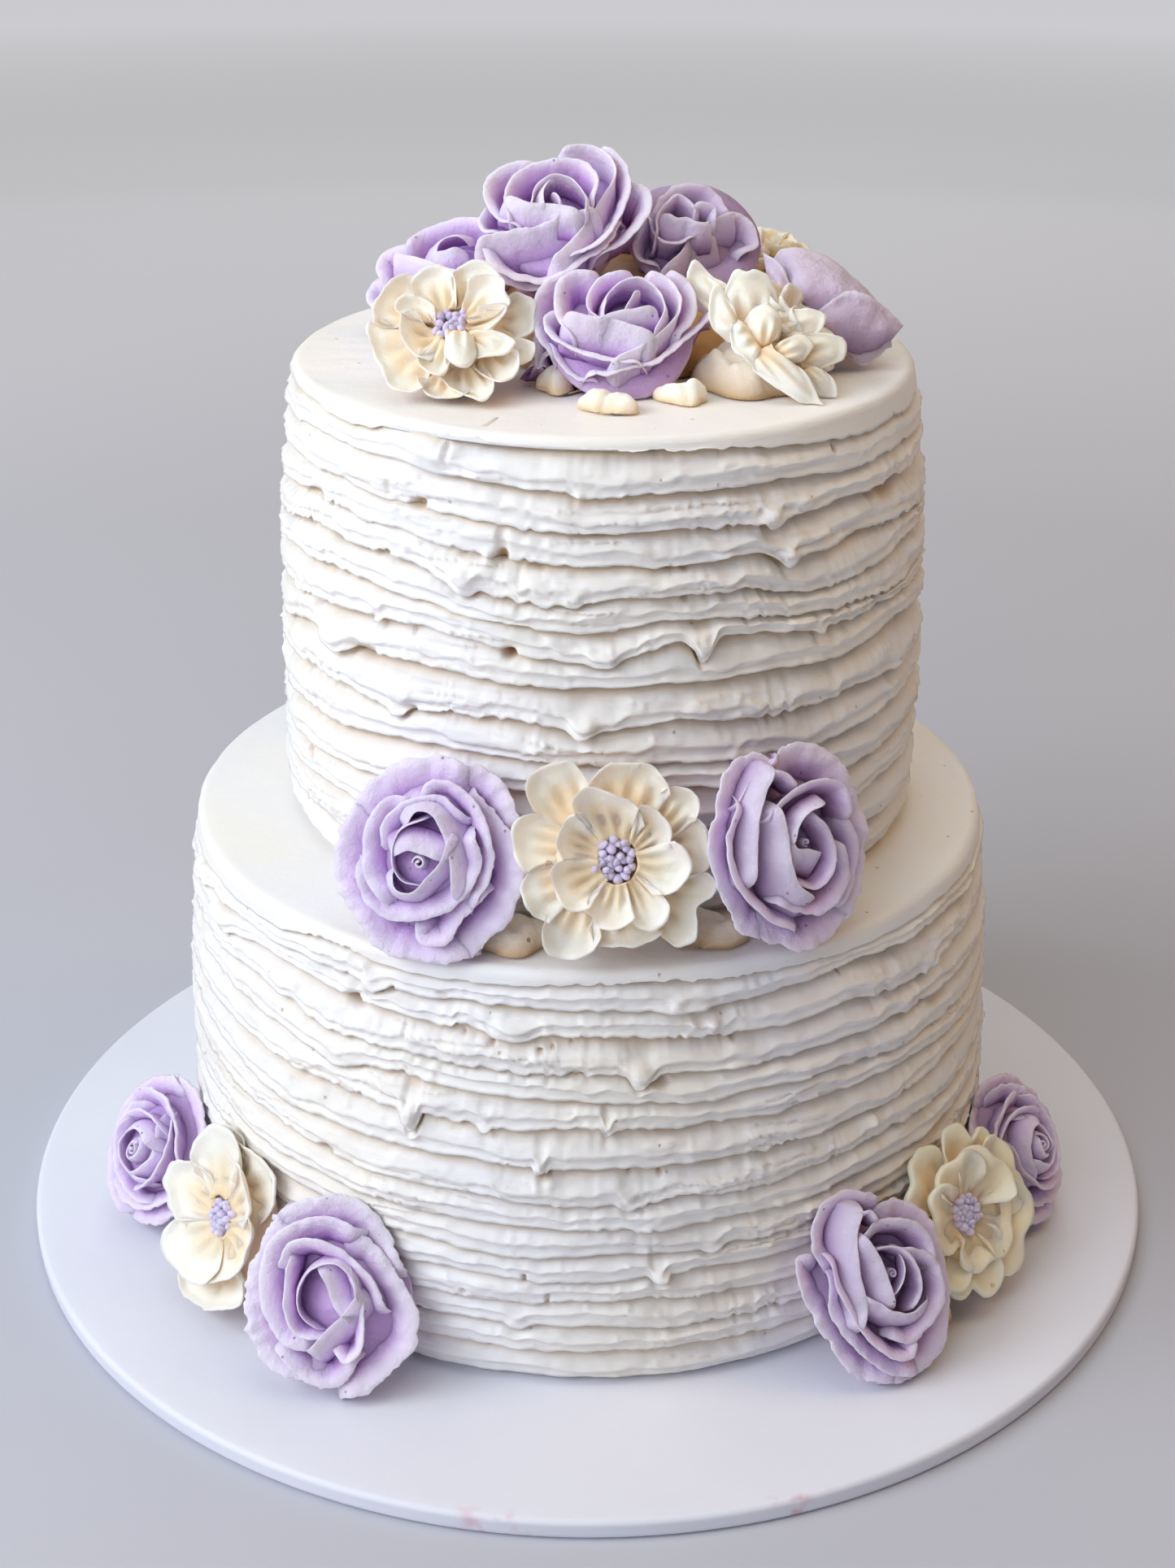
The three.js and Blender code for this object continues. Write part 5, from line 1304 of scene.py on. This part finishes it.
def laid_petal(shells, bulge, thick, rag, foot, rim, seed, folds):
    """A broad petal between its foot and its rim, bulging towards the viewer and ragged at the rim.
    folds is 1 for a blossom's ruffled and pleated petal and 0 for a rose's."""
    rim, foot = smooth_line(rim, 0.9), smooth_line(foot, 0.9)
    share = np.linspace(0, len(foot) - 1, len(rim))
    foot = np.stack([np.interp(share, np.arange(len(foot)), foot[:, i]) for i in range(3)], -1)
    if np.cross((rim - foot)[:, :2], np.gradient(rim[:, :2], axis=0)).sum() < 0:
        rim, foot = rim[::-1], foot[::-1]
    v = np.linspace(0, 1, 16)[None, :, None]
    w = np.linspace(-1, 1, len(rim))[:, None]
    grid = foot[:, None] * (1 - v) + rim[:, None] * v
    middle = grid.mean(axis=0, keepdims=True)
    grid = middle + (grid - middle) * (1.0 + 0.08 * folds)
    v = v[..., 0]
    outward = (rim - foot)[:, None] / (np.linalg.norm(rim - foot, axis=1)[:, None, None] + 1e-6)
    ragged = rag * with_lumps(0, grid, (0.5, 2.2, seed), (0.4, 1.1, seed + 1)) * v ** 4
    ragged = ragged + folds * 0.75 * lumps(grid, 4.6, seed + 6) * v ** 3
    grid = grid + outward * ragged[..., None]
    rise = bulge * (np.sin(pi * v ** 0.8) * 0.8 - 0.5 * np.abs(w) ** 3) + 0.6 * lumps(grid, 5.0, seed + 2)
    pleats = 0.65 * np.cos(3.4 * pi * w + seed) * np.exp(-((v - 0.4) / 0.24) ** 2)
    wavy = 0.95 * lumps(grid, 4.0, seed + 3) * v ** 2
    rough = 0.3 * lumps(grid, 2.0, seed + 4)
    grid[..., 2] += rise + folds * (pleats + wavy + 0.5 * w * v) + (1 - folds) * rough
    grid[..., 2] += (0.8 + 0.5 * folds) * eased((v - 0.8) / 0.2)
    half = 0.5 * thick * (1 - 0.45 * eased((v - 0.75) / 0.25)) * (1 - 0.8 * np.abs(w) ** 6)
    lift = np.zeros_like(grid)
    lift[..., 2] = half
    # Painted highlight at the rim; painted shade near the foot, and deeper where a petal is cupped.
    edge = eased((v - 0.86) / 0.14) + 0 * w
    cupped_shade = max(-0.28 * bulge, 0.0) * np.sin(pi * v ** 1.5) * (1 - w * w)
    hollow = np.clip(0.8 * (1 - v / 0.5) + cupped_shade, 0, 1)
    slab(shells, grid + lift, grid - lift, edge, hollow)


def finish_flower(name, shells, flower, material, seed, folds):
    """Puts a flower in its place, with any petals that are laid one by one."""
    points, faces, fields = placed(shells.all_points(), flower), shells.faces, shells.fields()
    if name in LAID_PETALS:
        plane, petals = LAID_PETALS[name]
        laid = Shells()
        for number, (bulge, thick, rag, *ends) in enumerate(petals):
            foot, rim = from_view(plane, *ends[:2]), from_view(plane, *ends[2:])
            laid_petal(laid, bulge, thick, rag, foot, rim, seed * 37 + number, folds)
        faces = faces + [tuple(i + len(points) for i in face) for face in laid.faces]
        points = np.concatenate([points, placed(laid.all_points(), plane)])
        fields = {key: np.concatenate([fields[key], laid.fields()[key]]) for key in fields}
    piece(f"{name}_petals", points, faces, material, name, fields)


def build_rose(name, flower, seed):
    shells = Shells()
    if name in ROSE_RIMS:
        marked_rose(shells, name, flower, seed)
    else:
        ruled_rose(shells, flower, seed)
    finish_flower(name, shells, flower, ROSE_LIGHT_AND_SHADE_COPIES.get(name, lilac), seed, 0.0)


for number, (name, flower) in enumerate(ROSES.items()):
    build_rose(name, flower, number + 1)

# A blossom's two rows of ruffled petals: how many, span in degrees, inner and outer radius for unit size,
# height of root and rim, the notch between the two lobes, the creases, and which side laps over the next.
BLOSSOM_ROWS = (
    dict(petals=6, span=80, root=0.16, reach=1.0, low=-2.6, high=-0.2, notch=0.13, folds=3.0, lap=1),
    dict(petals=5, span=98, root=0.08, reach=0.70, low=-1.2, high=1.8, notch=0.12, folds=3.5, lap=-1),
)
BLOSSOM_CUP = 1.2       # how far a ruffled petal is cupped
# The blossoms piped from a creamier batch.
WARM_BLOSSOMS = ("blossom_foot_right", "blossom_top_back", "blossom_top_rear")
# A blossom's core, as radius for unit size and height, before its flat back; and how much lower it is
# where the petals are all laid one by one.
BLOSSOM_CORE = ((0.02, -0.2), (0.12, -0.7), (0.26, 0.0), (0.4, 1.0), (0.5, 1.4), (0.56, -1.6), (0.72, -2.6),
                (0.78, -3.6), (0.66, -4.6))
LOWERED_CORE = 0.8


def ruffled_petal(shells, row, middle, size, seed, vary):
    """One broad petal, double-lobed at its rim, folded towards its root and cupped at its edge."""
    w = np.linspace(-1, 1, 30)[:, None]
    s = np.linspace(0, 1, 20)[None, :]
    half_span = radians(row["span"] * (0.5 + 0.05 * vary[0]))
    shoulder = np.sqrt(np.clip(1 - np.abs(w) ** 3.2, 0.0, 1))
    notch = 1 - row["notch"] * (1 + 0.6 * vary[1]) * np.exp(-((w - 0.15 * vary[2]) / 0.22) ** 2)
    reach = row["reach"] * (1 + 0.1 * vary[3]) * (0.60 + 0.40 * shoulder) * notch
    r = size * (row["root"] + (reach - row["root"]) * s)
    a = middle + w * half_span * (0.86 + 0.14 * s)
    here = round_points(r, a, 0.0)
    rise = row["low"] + (row["high"] - row["low"]) * eased(s * 1.15)
    lobes = 0.4 * np.cos(w * TURN) * s * (1 - 0.3 * s)
    folded = np.abs(np.cos(w * row["folds"] * pi / 2 + vary[4])) ** 3
    creases = -0.35 * folded * np.sin(pi * np.clip(s * 1.25, 0, 1))
    cup = BLOSSOM_CUP * (eased((s - 0.62) / 0.38) + 0.3 * np.abs(w) ** 4 * s ** 3 - 0.4 * np.sin(pi * s))
    tilt = 1.1 * w * s * row["lap"] - 1.9 * np.abs(w) ** 6 * (1 - s) ** 2
    z = rise + 1.1 * vary[5] * s + lobes + creases + cup + tilt
    z = with_lumps(z, here, (0.8 * s, 6.0, seed), (0.15, 1.8, seed + 1))
    r = r * with_lumps(1, here, (0.018 * s ** 4, 2.4, seed + 2))
    thick = (1.0 - 0.1 * s) * (1 - 0.4 * eased((s - 0.93) / 0.07)) * (1 - 0.8 * np.abs(w) ** 5)
    upper, lower = round_points(r, a, z + thick), round_points(r, a, z - thick * 1.2)
    # Painted highlight at the rim; painted shade at the root, in the middle of the petal and in its creases.
    edge = 0.7 * eased((s - 0.86) / 0.14) + 0 * w
    root = 0.75 * (1 - eased(s / 0.45)) + 0.3 * np.sin(pi * s) * (1 - np.abs(w))
    hollow = np.clip(np.clip(-creases / 0.6, 0, 1) * 0.4 + root, 0, 1)
    slab(shells, upper, lower, edge, hollow)


def build_blossom(name, flower, seed):
    shells = Shells()
    size, depth = BLOSSOM_SIZE, flower["depth"]
    all_laid = name in LAID_PETALS and LAID_PETALS[name][0] is flower
    lowered = LOWERED_CORE if all_laid else 0.0
    profile = [(r, max(z - lowered, -depth)) for r, z in (*BLOSSOM_CORE, (0.4, -depth), (0.02, -depth))]
    # The core takes painted shade all over.
    turned_core(shells, profile, size, 36, [0.6] * len(profile))
    for row_number, row in enumerate(() if all_laid else BLOSSOM_ROWS):
        start = TURN * 0.5 * lattice(row_number, 9, 2, seed)
        for petal in range(row["petals"]):
            vary = [lattice(petal, row_number, i, seed * 17) for i in range(6)]
            middle = start + (petal + 0.2 * vary[0]) * TURN / row["petals"]
            ruffled_petal(shells, row, middle, size, seed * 41 + row_number * 11 + petal, vary)
    shells.scale(flower["half"][0] / size, flower["half"][1] / size)
    batch = warm_ivory if name in WARM_BLOSSOMS else ivory
    finish_flower(name, shells, flower, batch, seed, 1.0)


for number, (name, flower) in enumerate(BLOSSOMS.items()):
    if name == "blossom_top_right":
        flower = dict(flower, **TURNED_CORE)
    build_blossom(name, flower, number + 1)

# ------------------------------------------------------------------ geometry nodes
def new_tree(name, sizes):
    """A geometry tree with named number inputs; sizes gives their default values."""
    tree = bpy.data.node_groups.new(name, "GeometryNodeTree")
    for label in sizes:
        kind = "NodeSocketInt" if isinstance(sizes[label], int) else "NodeSocketFloat"
        tree.interface.new_socket(label, in_out="INPUT", socket_type=kind)
    tree.interface.new_socket("Geometry", in_out="OUTPUT", socket_type="NodeSocketGeometry")
    return tree, tree.nodes.new("NodeGroupInput").outputs, tree.nodes.new("NodeGroupOutput")


def grown(name, tree, sizes):
    """Runs a geometry tree with the given sizes and returns the result as a plain mesh object."""
    carrier = bpy.data.objects.new(name + "_carrier", bpy.data.meshes.new(name + "_carrier"))
    bpy.context.scene.collection.objects.link(carrier)
    modifier = carrier.modifiers.new("grow", "NODES")
    modifier.node_group = tree
    for item in tree.interface.items_tree:
        if item.in_out == "INPUT" and item.name in sizes:
            modifier[item.identifier] = sizes[item.name]
    bpy.context.view_layer.update()
    evaluated = carrier.evaluated_get(bpy.context.evaluated_depsgraph_get())
    mesh = bpy.data.meshes.new_from_object(evaluated)
    bpy.data.objects.remove(carrier)
    mesh.name = name
    made = bpy.data.objects.new(name, mesh)
    bpy.context.scene.collection.objects.link(made)
    return made


# A stamen cluster's sizes in m, but for its radius and seed, which are each blossom's own.
PEGS = {"Peg Width": 0.00115, "Peg Length": 0.0015, "Spacing": 0.00098}
CLUSTER = 0.2           # its radius as a share of the blossom's
FIRST_SEED = 3
# Where stamens sit among laid petals, as marks in the front view, and how high; then in the others.
STAMENS_AT = {
    "blossom_ledge": (755, 1058), "blossom_top_left": (554, 399), "blossom_foot_left": (272, 1497),
}
STAMENS_HEIGHT = 1.4
STAMENS_MIDDLE = (0, 0, 0.5)
STAMEN_FIELDS = {"edge": 0.25, "hollow": 0.15}


def stamen_tree():
    """A tight cluster of small piped pegs: points spread over a disc, each one a rounded peg of its own
    size and lean, and lower towards the cluster's rim."""
    tree, given, result = new_tree("piped stamens", {"Radius": 0.0042, **PEGS, "Seed": 1})
    seed = given["Seed"]
    disc = add(tree, "GeometryNodeMeshCircle", {"Vertices": 24, "Radius": given["Radius"]}, fill_type="NGON")
    places = add(tree, "GeometryNodeDistributePointsOnFaces", {
        "Mesh": disc, "Distance Min": given["Spacing"], "Density Max": 1.2e6, "Seed": seed},
        distribute_method="POISSON")
    peg = add(tree, "GeometryNodeMeshUVSphere", {"Segments": 10, "Rings": 7, "Radius": given["Peg Width"]})
    lean = add(tree, "FunctionNodeRandomValue", {
        "Min": (-0.5, -0.5, 0.0), "Max": (0.5, 0.5, 6.2), "Seed": seed}, data_type="FLOAT_VECTOR")
    size = add(tree, "FunctionNodeRandomValue", {
        "Min": (0.75, 0.75, 1.0), "Max": (1.15, 1.1, 2.0), "Seed": seed}, data_type="FLOAT_VECTOR")
    pegs = add(tree, "GeometryNodeInstanceOnPoints", {
        "Points": places, "Instance": peg, "Rotation": lean, "Scale": size})
    place = add(tree, "GeometryNodeInputPosition")
    from_middle = add(tree, "ShaderNodeVectorMath", {0: place}, operation="LENGTH")
    share = add(tree, "ShaderNodeMath", {0: from_middle, 1: given["Radius"]}, operation="DIVIDE")
    fall = add(tree, "ShaderNodeMath", {0: share, 1: -0.35}, operation="MULTIPLY")
    domed = add(tree, "ShaderNodeMath", {0: fall, 1: given["Peg Length"]}, operation="MULTIPLY")
    offset = add(tree, "ShaderNodeCombineXYZ", {"Z": domed})
    realized = add(tree, "GeometryNodeRealizeInstances", {"Geometry": pegs})
    raised = add(tree, "GeometryNodeSetPosition", {"Geometry": realized, "Offset": offset})
    finished = add(tree, "GeometryNodeSetMaterial", {"Geometry": raised, "Material": heart_lilac})
    set_inputs(tree, result, {"Geometry": finished})
    return tree


def build_stamens():
    tree = stamen_tree()
    for number, (name, flower) in enumerate(BLOSSOMS.items()):
        sizes = {"Radius": CLUSTER * min(flower["half"]) * MM, **PEGS, "Seed": FIRST_SEED + number}
        made = grown(f"{name}_stamens_pegs", tree, sizes)
        middle = STAMENS_MIDDLE
        if name in STAMENS_AT:
            middle = from_view(flower, STAMENS_HEIGHT, STAMENS_AT[name])[0]
        lifted = Matrix.Scale(MM, 4) @ flower_frame(flower) @ Matrix.Translation(middle)
        made.data.transform(lifted @ Matrix.Scale(1 / MM, 4))
        count = len(made.data.vertices)
        give_fields(made.data, {field: np.full(count, value) for field, value in STAMEN_FIELDS.items()})
        made.data.shade_smooth()
        finish_piece(made, heart_lilac, f"{name}_stamens")


build_stamens()


def board_tree():
    """The board follows a rule: a disc and its side, standing on the ground."""
    tree, given, result = new_tree("wrapped cake board", {"Radius": 0.1524, "Thickness": 0.00515})
    disc = add(tree, "GeometryNodeMeshCylinder", {
        "Vertices": 240, "Side Segments": 6, "Fill Segments": 40, "Radius": given["Radius"],
        "Depth": given["Thickness"]}, fill_type="TRIANGLE_FAN")
    half = add(tree, "ShaderNodeMath", {0: given["Thickness"], 1: 0.5}, operation="MULTIPLY")
    offset = add(tree, "ShaderNodeCombineXYZ", {"Z": half})
    standing = add(tree, "GeometryNodeSetPosition", {"Geometry": disc, "Offset": offset})
    finished = add(tree, "GeometryNodeSetMaterial", {"Geometry": standing, "Material": paper})
    set_inputs(tree, result, {"Geometry": finished})
    return tree


# The pink smudges on the board's edge: direction from the front and half width, in degrees.
SMUDGES = ((-8, 2.5), (18, 2.0))
WRAPPED_EDGE = dict(width=0.0004, segments=2, limit_method="ANGLE")


def build_board():
    made = grown("board_wrapped", board_tree(), {
        "Radius": BOARD["radius"] * MM, "Thickness": BOARD["thickness"] * MM})
    mesh = made.data
    points = np.empty(len(mesh.vertices) * 3)
    mesh.vertices.foreach_get("co", points)
    points = points.reshape(-1, 3) / MM
    radius = np.hypot(points[:, 0], points[:, 1])
    outer = radius > BOARD["radius"] - 0.5
    ends = outer & ((points[:, 2] < 0.1) | (points[:, 2] > BOARD["thickness"] - 0.1))
    shrink = np.where(ends, (BOARD["radius"] - BOARD["round"]) / radius.clip(1e-6), 1.0)
    points[:, :2] *= shrink[:, None]
    mesh.vertices.foreach_set("co", (points * MM).ravel())
    azimuth = np.degrees(np.arctan2(points[:, 0], -points[:, 1]))
    near = sum(np.exp(-((azimuth - middle) / half) ** 2) for middle, half in SMUDGES)
    give_fields(mesh, {"smudge": np.where(outer, near, 0.0)})
    mesh.update()
    finish_piece(made, paper, "board")
    mesh.shade_smooth()
    edges = made.modifiers.new("edges", "BEVEL")
    for setting, value in WRAPPED_EDGE.items():
        setattr(edges, setting, value)


build_board()

# ------------------------------------------------------------------ icing mound and dabs
# Each dab's middle and the level that it lies on, the way it points, its length and half width.
DABS = {
    "icing_dab_top_left": ((-5.5, -34.5, UPPER["top"]), 140, 14, 6),
    "icing_dab_top_front": ((4.5, -52.5, UPPER["top"]), 75, 12, 5.2),
    "icing_dab_top_right": ((20, -45, UPPER["top"]), 60, 12, 4.8),
    "icing_dab_top_side": ((35, -34, UPPER["top"]), 60, 24, 10),
    "icing_dab_ledge_left": ((-17, -88, UPPER["bottom"]), 100, 16, 7),
    "icing_dab_ledge_right": ((27, -85, UPPER["bottom"]), 70, 16, 7),
    "icing_dab_foot_right": ((85.5, -75.5, BOARD["thickness"]), 35, 14, 6.5),
}
SHADED_DABS = ("icing_dab_top_side", "icing_dab_ledge_left", "icing_dab_ledge_right")
BIG_DAB = 8             # past this half width a dab is one dome rather than lobes


def dab_lobes(length, radius, seed):
    """A dab's lobes: three in line and a smaller one, each as its place along and beside and its size."""
    for i in range(3):
        beside = 0.25 * radius * lattice(i, 1, 1, seed)
        yield 0.36 * (i - 1) * length, beside, 0.8 + 0.25 * lattice(i, 2, 1, seed)
    yield 0.1 * length, 0.5 * radius * lattice(4, 1, 1, seed), 0.62


def dab(name, at, azimuth, length, radius, seed):
    """A lump of icing pressed out of a bag: a few soft lobes run together, with folds between them."""
    rings, columns = 26, 60
    a = radians(azimuth)
    along, across = np.array([sin(a), -cos(a)]), np.array([cos(a), sin(a)])
    share = ((np.arange(rings) + 0.5) / rings)[:, None]
    angle = np.linspace(0, TURN, columns, endpoint=False)[None, :]
    swell = 1 + 0.10 * np.cos(3 * angle + seed) + 0.06 * np.sin(5 * angle + 2 * seed)
    x = 0.56 * length * share ** 0.75 * np.cos(angle) * swell
    y = 0.98 * radius * share ** 0.75 * np.sin(angle) * swell
    height = np.zeros_like(x)
    for middle, side, big in dab_lobes(length, radius, seed):
        far_along = (x - middle) / (0.30 * length + 0.45 * radius * big)
        far_beside = (y - side) / (0.98 * radius * big)
        height = np.maximum(height, big * np.sqrt(np.clip(1 - far_along ** 2 - far_beside ** 2, 0, 1)))
    if radius > BIG_DAB:
        height = 0.3 * height + 0.6 * np.sqrt(1 - share ** 2)
    height = 0.95 * radius * height * np.sqrt(1 - share ** 3)
    spot = np.stack([x, y, height], -1)
    height = height * with_lumps(1, spot, (0.24, 3.2, seed)) + 0.4 * lumps(spot, 1.5, seed + 1) * (1 - share)
    base = at[2] + GAP
    points = np.stack([at[0] + x * along[0] + y * across[0], at[1] + x * along[1] + y * across[1],
                       base + np.maximum(height, 0.0)], -1).reshape(-1, 3)
    points[(rings - 1) * columns:, 2] = base
    # Painted highlight on the dab's upper part and painted shade towards its foot.
    low = np.clip(1 - (points[:, 2] - at[2]) / (0.7 * radius), 0, 1)
    icing_used = shaded_cream if name in SHADED_DABS else ivory
    piece(f"{name}_piped", points, faces_to_flat_ends(rings, columns), icing_used, name,
          {"edge": 0.5 * (1 - low), "hollow": 0.9 * low})


for number, (name, (at, azimuth, length, radius)) in enumerate(DABS.items()):
    dab(name, at, azimuth, length, radius, 70 + number)

# The mound's last number is how much painted shade it takes all over.
MOUND = dict(middle=(8.0, 7.0), radius=36.0, height=20.0, hollow=0.9)


def build_mound():
    """The heap of icing that carries the flowers on the top."""
    middle, top = MOUND["middle"], UPPER["top"] + GAP
    rings, columns = 26, 90
    slope = ((np.arange(rings) + 1) / rings * pi / 2)[:, None]
    angle = np.linspace(0, TURN, columns, endpoint=False)
    heap = round_points(MOUND["radius"] * np.sin(slope), angle, top + MOUND["height"] * np.cos(slope))
    points = heap.reshape(-1, 3) + (*middle, 0.0)
    points = points + 0.5 * with_lumps(0, points, (1.2, 11, 81), (0.5, 4, 82))[:, None]
    points[:, 2] = np.maximum(points[:, 2], top)
    points = np.concatenate([points, [[*middle, top + MOUND["height"]], [*middle, top]]])
    piece("icing_mound_top_piped", points, faces_to_middles(rings, columns), shaded_cream,
          "icing_mound_top", {"edge": np.zeros(len(points)), "hollow": np.full(len(points), MOUND["hollow"])})


build_mound()

# ------------------------------------------------------------------ floor, lights and camera
FLOOR_SIZE, RING_RADIUS, RING_HEIGHT = 9.0, 4.2, 5.0        # metres, as are all sizes from here on


def build_floor():
    """A plain pale floor, darker beside the cake and a little brighter and brighter still further off."""
    bpy.ops.mesh.primitive_plane_add(size=FLOOR_SIZE, location=(0, 0, 0))
    floor = bpy.context.object
    floor.name = "floor"
    material, tree, shader = new_material("pale_floor")
    place = add(tree, "ShaderNodeTexCoord").outputs["Object"]
    away = add(tree, "ShaderNodeVectorMath", {0: place}, operation="LENGTH")
    fade, near, far = (
        add(tree, "ShaderNodeMapRange", {"Value": away, "From Min": start, "From Max": end, "To Max": most})
        for start, end, most in ((0.25, 1.6, 1.0), (0.6, 1.4, 0.21), (1.5, 2.6, 0.35)))
    glow = add(tree, "ShaderNodeMath", {0: near, 1: far}, operation="ADD")
    finish_surface(tree, shader, linear("#BFC0C9"), ((fade, "#F4F4F6"),), (), {
        "Emission Strength": glow, "Emission Color": linear("#EDEDF2"), "Roughness": 0.85})
    floor.data.materials.append(material)


def build_backdrop():
    """A far pale ring behind everything, so that every side has a backdrop; it casts nothing."""
    bpy.ops.mesh.primitive_cylinder_add(
        vertices=96, radius=RING_RADIUS, depth=RING_HEIGHT, end_fill_type="NOTHING")
    ring = bpy.context.object
    ring.name = "backdrop_ring"
    material, tree, shader = new_material("pale_backdrop")
    finish_surface(tree, shader, linear("#000000"), (), (), {
        "Specular IOR Level": 0.0, "Emission Color": linear("#C4C5CB"), "Emission Strength": 1.0})
    ring.data.materials.append(material)
    ring.visible_diffuse = ring.visible_glossy = ring.visible_shadow = False


# Daylight from a window on the left, paler light round the cake and a warm room on its right: each one's
# direction from the front and height angle in degrees, distance and width, power in W, and colour.
LIGHTS = {
    "window_left": (-70, 35, 1.4, 1.0, 13.5, (0.862, 0.923, 1.0)),
    "window_front": (-30, 30, 1.4, 1.0, 6.5, (0.875, 0.902, 1.0)),
    "ceiling": (0, 88, 1.4, 1.2, 4.8, (0.88, 1.0, 0.98)),
    "warm_room_right": (90, 52, 1.4, 0.8, 3.6, (1.0, 0.56, 0.2)),
    "behind": (180, 45, 1.6, 1.2, 4.6, (0.98, 0.95, 1.0)),
}
LIGHT_AIM = 0.12        # the height on the cake that the lights are turned to
LIGHT_BASE = 0.1        # the height that their height angles are measured from
WORLD_GREY = (0.1, 0.1, 0.1, 1.0)


def area_light(name, azimuth, height, distance, size, power, colour):
    """A round soft light, turned to the cake."""
    data = bpy.data.lights.new(name, "AREA")
    data.shape, data.size, data.energy, data.color = "DISK", size, power, colour
    light = bpy.data.objects.new(name, data)
    a, h = radians(azimuth), radians(height)
    level = distance * cos(h)
    light.location = (level * sin(a), -level * cos(a), LIGHT_BASE + distance * sin(h))
    aim = Vector((0, 0, LIGHT_AIM)) - light.location
    light.rotation_euler = aim.to_track_quat("-Z", "Y").to_euler()
    bpy.context.scene.collection.objects.link(light)


def build_lights():
    for name, settings in LIGHTS.items():
        area_light(name, *settings)
    world = bpy.data.worlds.new("studio")
    world.use_nodes = True
    world.node_tree.nodes["Background"].inputs["Color"].default_value = WORLD_GREY
    bpy.context.scene.world = world


def build_camera():
    """The viewpoint: in front, looking down on the cake by about 25 degrees."""
    data = bpy.data.cameras.new("front_view")
    data.sensor_width, data.lens = VIEW["sensor"], VIEW["lens"]
    camera = bpy.data.objects.new("front_view", data)
    camera.matrix_world = Matrix.Translation(Vector(VIEW["eye"]) * MM) @ view_turn()
    bpy.context.scene.collection.objects.link(camera)
    bpy.context.scene.camera = camera


build_floor()
build_backdrop()
build_lights()
build_camera()
bpy.context.scene.view_settings.view_transform = "Standard"
